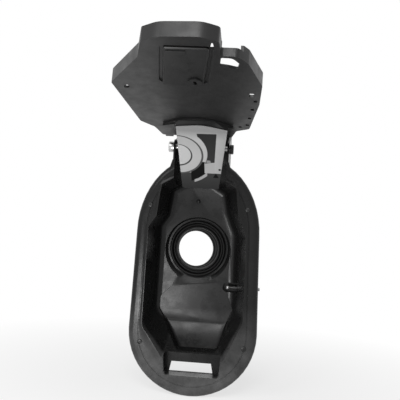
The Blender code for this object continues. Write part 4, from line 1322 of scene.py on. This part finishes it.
def flapCarrier(bores, pivot):
    innerFace = -flap["panelOffset"]
    outerEdge = innerFace - flap["rimHeight"]
    outline = roundCorners(carrierCorners(0.0), 3)
    carrier = plateXz("flapCarrier", outline, outerEdge, innerFace)
    pan = roundCorners(carrierCorners(-flap["rimThickness"]), 3)
    hollow = plateXz("carrierHollow", pan, outerEdge - fit["cutOverrun"],
                     innerFace - flap["panelThickness"])
    raised, core, groove, bar = latchBoxTools()
    boss, well = latchBossTools()
    trimLow = (flap["x"] + flap["tabRight"] + fit["seatGap"], outerEdge - fit["cutOverrun"],
               -flap["strapS"] - flap["rimThickness"])
    trimHigh = (flap["x"] + flap["strapEnd"] + 4 * flap["rimThickness"],
                innerFace - flap["strapHeight"], -flap["strapS"] + 3 * flap["rimThickness"])
    trim = box("strapTrim", trimLow, trimHigh)
    lugX = flap["x"] - flap["rootEndHalf"] + flap["lugShift"]
    lugLow = (lugX, innerFace - flap["lugHeight"], -flap["panelStart"] - flap["lugLength"] / 3)
    lugHigh = (lugX + flap["lugWidth"], innerFace - fit["seatGap"],
               -flap["panelStart"] + 2 * flap["lugLength"] / 3)
    lug = box("rootLug", lugLow, lugHigh)
    cuts = [hollow, groove]
    lateCuts = [core, well, trim] + clipPockets() + carrierWindows()
    for tool in cuts:
        boolean(carrier, tool, "DIFFERENCE")
    for tool in (raised, boss, bar, lug):
        boolean(carrier, tool, "UNION")
    for tool in lateCuts + bores:
        boolean(carrier, tool, "DIFFERENCE")
    for item in [carrier, raised, boss, bar, lug] + cuts + lateCuts + bores:
        item.parent = pivot
    return carrier


# finishing: merge distance and flat angle of a settled mesh, and the widths of broken edges
finishSettings = {
    "merge": 1e-6,
    "flatAngle": 0.6,
    "sharpAngle": 34,
    "smallSharpAngle": 50,
    "mouldEdge": 0.35 * mm,
    "smallEdge": 0.15 * mm,
}


# a finished solid as a plain mesh at the origin, merged and with its flat faces joined
def settledMesh(item, pieceName):
    bpy.context.view_layer.update()
    graph = bpy.context.evaluated_depsgraph_get()
    made = item.evaluated_get(graph)
    mesh = bpy.data.meshes.new_from_object(made)
    mesh.transform(made.matrix_world)
    mesh.name = pieceName
    shape = bmesh.new()
    shape.from_mesh(mesh)
    bmesh.ops.remove_doubles(shape, verts=shape.verts, dist=finishSettings["merge"])
    flat = radians(finishSettings["flatAngle"])
    bmesh.ops.dissolve_limit(shape, angle_limit=flat, verts=shape.verts, edges=shape.edges)
    bmesh.ops.recalc_face_normals(shape, faces=shape.faces)
    shape.to_mesh(mesh)
    shape.free()
    mesh.materials.clear()
    return mesh


def addPiece(name, mesh, material, body, slotName, *nodes):
    if material:
        mesh.materials.clear()
        mesh.materials.append(material)
    piece = addToScene(name, mesh)
    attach(piece, body)
    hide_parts(*nodes)
    return piece


def breakEdges(piece, width, angle):
    bevel = piece.modifiers.new("brokenEdges", "BEVEL")
    bevel.width = width
    bevel.segments = 2
    bevel.limit_method = "ANGLE"
    bevel.angle_limit = radians(angle)
    bevel.harden_normals = True


def dressSolid(item, pieceName, material, body, slotName, nodes, edge,
               angle=finishSettings["sharpAngle"]):
    mesh = settledMesh(item, pieceName)
    mesh.shade_smooth()
    mesh.set_sharp_from_angle(angle=radians(angle))
    piece = addPiece(pieceName, mesh, material, body, slotName, *nodes)
    if edge:
        breakEdges(piece, edge, angle)


# turned pieces: a profile of (radius, depth) round the X or Y axis
def turnedMesh(name, profile, steps, place, closedProfile=False, lean=None):
    shape = bmesh.new()
    loops = []
    for radius, depth in profile:
        shiftX, shiftZ = lean(depth) if lean else (0, 0)
        loop = []
        for step in range(steps):
            angle = 2 * pi * step / steps
            x, z = radius * cos(angle) + shiftX, radius * sin(angle) + shiftZ
            loop.append(shape.verts.new(place(x, depth, z)))
        loops.append(loop)
    pairs = list(zip(loops[:-1], loops[1:]))
    if closedProfile:
        pairs.append((loops[-1], loops[0]))
    for here, following in pairs:
        for index in range(steps):
            after = (index + 1) % steps
            shape.faces.new((here[index], here[after], following[after], following[index]))
    if not closedProfile:
        shape.faces.new(loops[0])
        shape.faces.new(loops[-1])
    bmesh.ops.recalc_face_normals(shape, faces=shape.faces)
    mesh = bpy.data.meshes.new(name)
    shape.to_mesh(mesh)
    shape.free()
    mesh.shade_smooth()
    mesh.set_sharp_from_angle(angle=radians(40))
    return mesh


# rounds the corners of a closed profile of (radius, depth)
def softProfile(corners, reach, steps=4):
    points = []
    count = len(corners)
    for index, corner in enumerate(corners):
        here = Vector(corner)
        before = Vector(corners[index - 1]) - here
        after = Vector(corners[(index + 1) % count]) - here
        size = min(reach, before.length * 0.45, after.length * 0.45)
        start = here + before.normalized() * size
        end = here + after.normalized() * size
        for step in range(steps + 1):
            share = step / steps
            point = start * (1 - share) ** 2 + here * 2 * share * (1 - share) + end * share ** 2
            points.append((point.x, point.y))
    return points


# neck ring: two raised beads round a funnel that leans into the car
grommetSettings = {
    "centre": (-2.7, 48.5, 156.5),
    "lean": (-4.2, -1.2),
    "seatRadius": 27.2,
    "outerRadius": 34.5,
    "clearRadius": 21.9,
    "depth": 13.0,
    "rise": 6.0,
    "rear": 2.8,
    "soft": 0.7,
    "steps": 128,
}


def addGrommet(s, material):
    cx, cy, cz = s["centre"]
    rear = s["rear"]

    def place(x, depth, z):
        return ((cx + x) * mm, (cy + depth) * mm, (cz + z) * mm)

    def lean(depth):
        share = max(0.0, (depth - rear) / (s["depth"] - rear))
        return s["lean"][0] * share, s["lean"][1] * share

    outer, clear, seat = s["outerRadius"], s["clearRadius"], s["seatRadius"]
    rise, deep = s["rise"], s["depth"]
    corners = [
        (seat, -0.3), (outer, -0.3), (outer, -rise * 0.62),
        (outer - 1.2, -rise), (outer - 3.1, -rise), (outer - 4.4, -rise * 0.24),
        (outer - 6.4, -rise * 0.24), (outer - 7.2, -rise * 0.72), (outer - 8.8, -rise * 0.72),
        (clear + 2.4, deep * 0.24), (clear + 1.6, deep * 0.3), (clear + 1.2, deep * 0.62),
        (clear + 0.2, deep * 0.7), (clear, deep * 0.86), (clear, deep),
        (clear + 2.0, deep), (clear + 4.0, deep * 0.5),
        (seat + 2.5, rear + 1.6), (seat + 2.5, rear), (seat, rear),
    ]
    mesh = turnedMesh("neckGrommet", softProfile(corners, s["soft"]), s["steps"], place, True, lean)
    addPiece("neckGrommet", mesh, material, "housing", "rubber", "neck_grommet")


# screws: one pan head with a cross recess, set on points by Geometry Nodes
screwSettings = {
    "headRadius": 2.75,
    "headHeight": 1.1,
    "shankRadius": 1.45,
    "shankLength": 6.8,
    "recessHalf": 1.45,
    "recessWidth": 0.62,
    "recessDepth": 0.7,
    "tip": 0.05,
    "threads": 6,
    "steps": 28,
    "sharpAngle": 32,
    "turnStep": 0.4,
}


def screwModel(s):
    head, height, shank = s["headRadius"], s["headHeight"], s["shankRadius"]
    profile = [(s["tip"], height), (head * 0.6, height * 0.97), (head * 0.9, height * 0.72),
               (head, height * 0.35), (head, 0.0), (shank, -0.02)]
    pitch = s["shankLength"] / s["threads"]
    for turn in range(s["threads"]):
        profile.append((shank, -0.1 - pitch * turn))
        profile.append((shank * 0.78, -0.1 - pitch * (turn + 0.5)))
    profile.append((s["tip"], -s["shankLength"] - shank))

    def place(x, depth, z):
        return (x * mm, z * mm, depth * mm)

    screw = addToScene("screwBody", turnedMesh("screwBody", profile, s["steps"], place))
    reach, thin = s["recessHalf"] * mm, s["recessWidth"] / 2 * mm
    low, high = (height - s["recessDepth"]) * mm, (height + s["recessDepth"]) * mm
    tools = []
    for name, x, y in (("acrossX", reach, thin), ("acrossY", thin, reach)):
        tools.append(box(name, (-x, -y, low), (x, y, high)))
        boolean(screw, tools[-1], "DIFFERENCE")
    finished = plainMesh(screw, "screw")
    for item in [screw] + tools:
        bpy.data.objects.remove(item)
    finished.shade_smooth()
    finished.set_sharp_from_angle(angle=radians(s["sharpAngle"]))
    return finished


def plainMesh(item, name):
    graph = bpy.context.evaluated_depsgraph_get()
    graph.update()
    mesh = bpy.data.meshes.new_from_object(item.evaluated_get(graph))
    mesh.name = name
    return mesh


# a tree that sets one model on every point of a mesh, turned by the point's own angles
def setOnPointsTree(name, model, material):
    tree = bpy.data.node_groups.new(name, "GeometryNodeTree")
    tree.interface.new_socket("Geometry", in_out="INPUT", socket_type="NodeSocketGeometry")
    scale = tree.interface.new_socket("Model Scale", in_out="INPUT", socket_type="NodeSocketFloat")
    scale.default_value = 1.0
    tree.interface.new_socket("Geometry", in_out="OUTPUT", socket_type="NodeSocketGeometry")
    given = tree.nodes.new("NodeGroupInput")
    result = tree.nodes.new("NodeGroupOutput")
    info = addNode(tree, "GeometryNodeObjectInfo", {"Object": model})
    turn = addNode(tree, "GeometryNodeInputNamedAttribute", {"Name": "turn"},
                   data_type="FLOAT_VECTOR")
    setting = addNode(tree, "GeometryNodeInstanceOnPoints", {
        "Points": given.outputs["Geometry"], "Instance": info.outputs["Geometry"],
        "Rotation": turn.outputs["Attribute"], "Scale": given.outputs["Model Scale"]})
    realize = addNode(tree, "GeometryNodeRealizeInstances",
                      {"Geometry": setting.outputs["Instances"]})
    paint = addNode(tree, "GeometryNodeSetMaterial",
                    {"Geometry": realize.outputs["Geometry"], "Material": material})
    tree.links.new(paint.outputs["Geometry"], result.inputs["Geometry"])
    return tree, scale.identifier


def setOnPoints(name, modelMesh, points, turns, material, scale=1.0):
    model = addToScene(name + "Model", modelMesh)
    mesh = bpy.data.meshes.new(name + "Points")
    mesh.from_pydata(points, [], [])
    attribute = mesh.attributes.new("turn", "FLOAT_VECTOR", "POINT")
    for index, angles in enumerate(turns):
        attribute.data[index].vector = angles
    holder = addToScene(name + "Points", mesh)
    tree, scaleSocket = setOnPointsTree(name + "Tree", model, material)
    modifier = holder.modifiers.new("setOnPoints", "NODES")
    modifier.node_group = tree
    modifier[scaleSocket] = scale
    made = plainMesh(holder, name)
    bpy.data.objects.remove(holder)
    bpy.data.objects.remove(model)
    return made


def addScrews(s, pivot, material):
    model = screwModel(s)
    face = -tray["flangeThickness"] - fit["seatGap"]
    points = [Vector((x, face, z)) for x, z in screwPlaces()]
    turns = [(pi / 2, s["turnStep"] * index, 0.0) for index in range(4)]
    mesh = setOnPoints("housingScrews", model, points, turns, material)
    names = ["housing_screw_" + str(index) for index in range(1, 5)]
    addPiece("housingScrews", mesh, None, "housing", "fixing_black", *names)
    seat = footPlane() + arm["wall"] + fit["seatGap"]
    points = [pivot.matrix_world @ Vector((x, seat, z)) for x, z in armScrewPlaces()]
    tilt = -pi / 2 - radians(hinge["openAngle"])
    mesh = setOnPoints("armScrews", model, points, [(tilt, 0.0, 0.0)] * len(points), material)
    addPiece("armScrews", mesh, None, "flap", "fixing_black")


# printed plate on the arm: fields of grey on the plate's own flat map, with painted shade round its
# circles and at its foot
plateSettings = {
    "base": 0.26,
    "baseSide": 0.37,
    "foot": 0.042,
    "inner": 0.50,
    "ring": 0.45,
    "outer": 0.45,
    "window": 0.022,
    "square": 0.40,
    "dark": 0.004,
    "line": 0.05,
    "disc": (-24.7, 15.2),
    "arc": (-24.4, 17.8),
    "radii": (14.6, 26.6, 33.0),
    "lowerReach": 8.5,
    "sliverReach": (7.8, 11.5),
    "ringLine": (0.7, -0.3, 1.5),
    "innerLine": (0.4, -0.5, 1.3),
    "rough": 0.34,
    "shine": 0.10,
    "windowShape": [(-3.0, 46.3), (4.0, 3.0), (16.6, 5.6), (19.0, 46.8)],
    "lowerShape": [(-10.6, -25.0), (5.4, -25.0), (5.4, 6.0), (-10.6, 6.0)],
    "sliverShape": [(-7, -26), (8, -26), (8, -10.6), (-7, -10.6)],
    "squareShape": [(5.0, -10.9), (16.6, -10.9), (16.6, 3.6), (5.0, 3.6)],
    "patchShape": [(7.2, 4.6), (12.6, 4.6), (11.4, 8.4), (7.6, 8.6)],
    "triangleShape": [(14.6, -17.6), (21.4, -17.6), (18.0, -10.6)],
    "dot": (22.4, -4.9),
    "dotRadius": 1.5,
    "mapSpan": 100.0,
    "mapCorner": (50.0, 40.0),
    "edge": 0.2 * mm,
    "edgeAngle": 34,
}


# a point of the open plate as (across, along) in mm: it is turned back to the shut flap first
def platePoint(place, pivot):
    shut = pivot.matrix_world.inverted() @ place
    return shut.x / mm, alongOf(shut.y, shut.z) / mm


def insideDisc(tree, u, v, centre, radius, soft=0.22):
    du = mathNode(tree, "SUBTRACT", u, centre[0])
    dv = mathNode(tree, "SUBTRACT", v, centre[1])
    away = mathNode(tree, "SQRT",
                    mathNode(tree, "ADD", mathNode(tree, "MULTIPLY", du, du),
                             mathNode(tree, "MULTIPLY", dv, dv)))
    return ramp(tree, away, radius - soft, radius + soft, 1.0, 0.0)


# 1 on the left of each side of a convex outline, walked anticlockwise
def insideOutline(tree, u, v, corners, soft=0.22):
    inside = None
    for index, (u0, v0) in enumerate(corners):
        u1, v1 = corners[(index + 1) % len(corners)]
        length = ((u1 - u0) ** 2 + (v1 - v0) ** 2) ** 0.5
        a, b = (v0 - v1) / length, (u1 - u0) / length
        side = mathNode(tree, "ADD",
                        mathNode(tree, "MULTIPLY", mathNode(tree, "SUBTRACT", u, u0), a),
                        mathNode(tree, "MULTIPLY", mathNode(tree, "SUBTRACT", v, v0), b))
        mask = ramp(tree, side, -soft, soft)
        inside = mask if inside is None else mathNode(tree, "MULTIPLY", inside, mask)
    return inside


def plateMaterial(s):
    material, tree, shader = newMaterial("printedPlate")
    flat = addNode(tree, "ShaderNodeUVMap", uv_map="plateMap")
    spot = addNode(tree, "ShaderNodeSeparateXYZ", {"Vector": flat.outputs["UV"]})
    span, (left, low) = s["mapSpan"], s["mapCorner"]
    u = mathNode(tree, "SUBTRACT", mathNode(tree, "MULTIPLY", spot.outputs["X"], span), left)
    v = mathNode(tree, "SUBTRACT", mathNode(tree, "MULTIPLY", spot.outputs["Y"], span), low)
    small, middle, large = s["radii"]

    def disc(centre, radius):
        return insideDisc(tree, u, v, centre, radius)

    def outline(corners, soft=0.22):
        return insideOutline(tree, u, v, corners, soft)

    def both(first, second):
        return mathNode(tree, "MULTIPLY", first, second)

    def outside(mask):
        return mathNode(tree, "SUBTRACT", 1.0, mask)

    # a disc set a little aside and a little wider leaves a dark line round the next one, thicker on
    # one side: painted shade that makes the printed circles look raised
    def lined(radius, shiftU, shiftV, wider):
        return disc((s["disc"][0] + shiftU, s["disc"][1] + shiftV), radius + wider)

    innerReach, outerReach = s["sliverReach"]
    window = both(outline(s["windowShape"]), outside(disc(s["arc"], large)))
    lower = both(outline(s["lowerShape"]), disc(s["disc"], large + s["lowerReach"]))
    band = both(disc(s["disc"], large + outerReach), outside(disc(s["disc"], large + innerReach)))
    sliver = both(band, outline(s["sliverShape"]))
    triangle = outline(s["triangleShape"], 0.35)
    marks = mathNode(tree, "MAXIMUM", disc(s["dot"], s["dotRadius"]), triangle)
    windowTone = mixColour(tree, ramp(tree, v, 12, 56), grey(s["window"] * 1.5),
                           grey(s["window"] * 0.8))
    # the foot field is painted darker towards the plate's bottom end: painted shade where the plate
    # runs down into the recess
    footTone = mixColour(tree, ramp(tree, v, -34, -10), grey(s["foot"] * 0.75),
                         grey(s["foot"] * 1.15))
    # the ring grows darker along the plate: painted shading of a raised ring
    ringTone = mixColour(tree, ramp(tree, v, 16, 46), grey(s["ring"]), grey(s["ring"] * 0.86))
    # each field is laid over the ones before it
    colour = mixColour(tree, ramp(tree, u, 12, 27), grey(s["outer"]), grey(s["baseSide"]))
    for mask, tone in (
        (ramp(tree, v, 38, 50), grey(s["base"])),
        (window, windowTone),
        (ramp(tree, v, -11.2, -10.6, 1.0, 0.0), footTone),
        (lower, grey(s["dark"])),
        (sliver, grey(s["ring"] * 0.8)),
        (outline(s["squareShape"]), grey(s["square"])),
        (outline(s["patchShape"], 0.8), grey(s["square"] * 0.7)),
        (lined(middle, *s["ringLine"]), grey(s["line"] * 1.6)),
        (disc(s["disc"], middle), ringTone),
        (lined(small, *s["innerLine"]), grey(s["line"])),
        (disc(s["disc"], small), grey(s["inner"])),
        (marks, grey(s["dark"])),
    ):
        colour = mixColour(tree, mask, colour, tone)
    tree.links.new(colour, shader.inputs["Base Color"])
    setSockets(shader, {"Roughness": s["rough"], "Specular IOR Level": s["shine"]})
    return material


def addPlate(s, item, pivot):
    mesh = settledMesh(item, "facePlate")
    flat = mesh.uv_layers.new(name="plateMap")
    span, (left, low) = s["mapSpan"], s["mapCorner"]
    for loop in mesh.loops:
        across, along = platePoint(mesh.vertices[loop.vertex_index].co, pivot)
        flat.data[loop.index].uv = ((across + left) / span, (along + low) / span)
    piece = addPiece("facePlate", mesh, plateMaterial(s), "flap", "face_plate", "arm_face_plate")
    breakEdges(piece, s["edge"], s["edgeAngle"])


# light and floor
lightSettings = {
    "key": {"place": (-0.75, -1.0, 0.95), "size": 0.5, "power": 4.5},
    "low": {"place": (-0.13, -0.36, 0.05), "size": 0.12, "power": 0.9},
    "top": {"place": (0.0, -1.0, 0.88), "size": 0.42, "power": 6.5},
    "world": 0.22,
    "floorTone": 0.9,
    "floorWhite": (0.12, 0.5),
    "floorReach": 60.0,
    "aim": (0, 0, 0.2),
}


def lookAt(item, target):
    item.rotation_euler = (Vector(target) - item.location).to_track_quat("-Z", "Y").to_euler()


def whiteToViewer(tree):
    path = tree.nodes.new("ShaderNodeLightPath")
    seen = mathNode(tree, "MAXIMUM", path.outputs["Is Camera Ray"], path.outputs["Is Glossy Ray"])
    return mathNode(tree, "MAXIMUM", seen, path.outputs["Is Transmission Ray"])


def addWorld(s):
    world = bpy.data.worlds.new("studio")
    bpy.context.scene.world = world
    world.use_nodes = True
    tree = world.node_tree
    background = tree.nodes["Background"]
    background.inputs["Color"].default_value = (1, 1, 1, 1)
    strength = ramp(tree, whiteToViewer(tree), 0, 1, s["world"], 1.0)
    tree.links.new(strength, background.inputs["Strength"])


# pale floor that turns pure white a little way from the part, so that no edge of it shows
def addFloor(s, low):
    material, tree, shader = newMaterial("paleFloor")
    setSockets(shader,
               {"Base Color": grey(s["floorTone"]), "Roughness": 0.9, "Specular IOR Level": 0.0})
    spot = tree.nodes.new("ShaderNodeTexCoord").outputs["Object"]
    away = addNode(tree, "ShaderNodeVectorMath", {0: spot}, operation="LENGTH").outputs["Value"]
    near, far = s["floorWhite"]
    white = mathNode(tree, "MULTIPLY", whiteToViewer(tree), ramp(tree, away, near, far, 0.7, 1.0))
    glow = addNode(tree, "ShaderNodeEmission", {"Color": (1, 1, 1, 1), "Strength": 1.0})
    mixed = addNode(tree, "ShaderNodeMixShader",
                    {0: white, 1: shader.outputs[0], 2: glow.outputs[0]})
    tree.links.new(mixed.outputs[0], tree.nodes["Material Output"].inputs["Surface"])
    mesh = bpy.data.meshes.new("floor")
    reach = s["floorReach"]
    mesh.from_pydata([(-reach, -reach, low), (reach, -reach, low), (reach, reach, low),
                      (-reach, reach, low)], [], [(0, 1, 2, 3)])
    mesh.materials.append(material)
    floor = addToScene("floor", mesh)


def addStage(s, low):
    for name in ("key", "low", "top"):
        lamp = addToScene(name + "Lamp", bpy.data.lights.new(name + "Lamp", "AREA"))
        lamp.data.size = s[name]["size"]
        lamp.data.energy = s[name]["power"]
        lamp.location = s[name]["place"]
        lookAt(lamp, s["aim"])
    addWorld(s)
    addFloor(s, low)
    bpy.context.scene.view_settings.view_transform = "Standard"


addCamera(cameraSettings)
addStage(lightSettings, cadBox[0][2])
finish = makeMaterials()
print("stage: camera, light and materials ready")

pivot = bpy.data.objects.new("flapPivot", None)
workshop.objects.link(pivot)
pivot.location = (0.0, hinge["y"], hinge["z"])
pivot.rotation_euler = (-radians(hinge["openAngle"]), 0.0, 0.0)
bpy.context.view_layer.update()

traySolid = housingTray()
dressSolid(traySolid, "housingTray", finish["mouldedBlack"], "housing", "moulding",
           ["housing_tray"], finishSettings["mouldEdge"])
print("stage: recess made")

screwBores = armScrewBores()
armSolid = hingeArm(screwBores, pivot)
carrierSolid = flapCarrier(screwBores, pivot)
dressSolid(armSolid, "hingeArm", finish["carrierBlack"], "flap", "moulding", ["hinge_arm"],
           finishSettings["mouldEdge"])
dressSolid(carrierSolid, "flapCarrier", finish["carrierBlack"], "flap", "carrier",
           ["flap_carrier"], finishSettings["mouldEdge"])
addPlate(plateSettings, armFacePlate(pivot), pivot)
print("stage: arm, flap and plate made")

addGrommet(grommetSettings, finish["neckRubber"])
addScrews(screwSettings, pivot, finish["fixingBlack"])
dressSolid(flapSpring(pivot), "flapSpring", finish["darkSteel"], "flap", "steel", [], 0)
print("stage: neck ring, screws and spring made")

floorClip()
hingeHardware()
lockHardware()
smallPieces = {
    "pinBush": ("pin_bush", "brightSteel", "housing", "steel"),
    "hingePin": ("hinge_pin", "brightSteel", "housing", "steel"),
    "pinCap": ("pin_cap", "fixingBlack", "housing", "fixing_black"),
    "lockBush": ("lock_bush", "fixingBlack", "housing", "fixing_black"),
    "lockPin": ("lock_pin", "darkSteel", "lock", "lock_steel"),
    "floorClip": ("floor_clip", "fixingBlack", "housing", "fixing_black"),
}
for pieceName, (nodeName, finishName, body, slotName) in smallPieces.items():
    item = workshop.objects[pieceName]
    item.name = pieceName + "Solid"
    dressSolid(item, pieceName, finish[finishName], body, slotName, [nodeName],
               finishSettings["smallEdge"], finishSettings["smallSharpAngle"])
for item in list(workshop.objects):
    bpy.data.objects.remove(item)
print("stage: small hardware made")
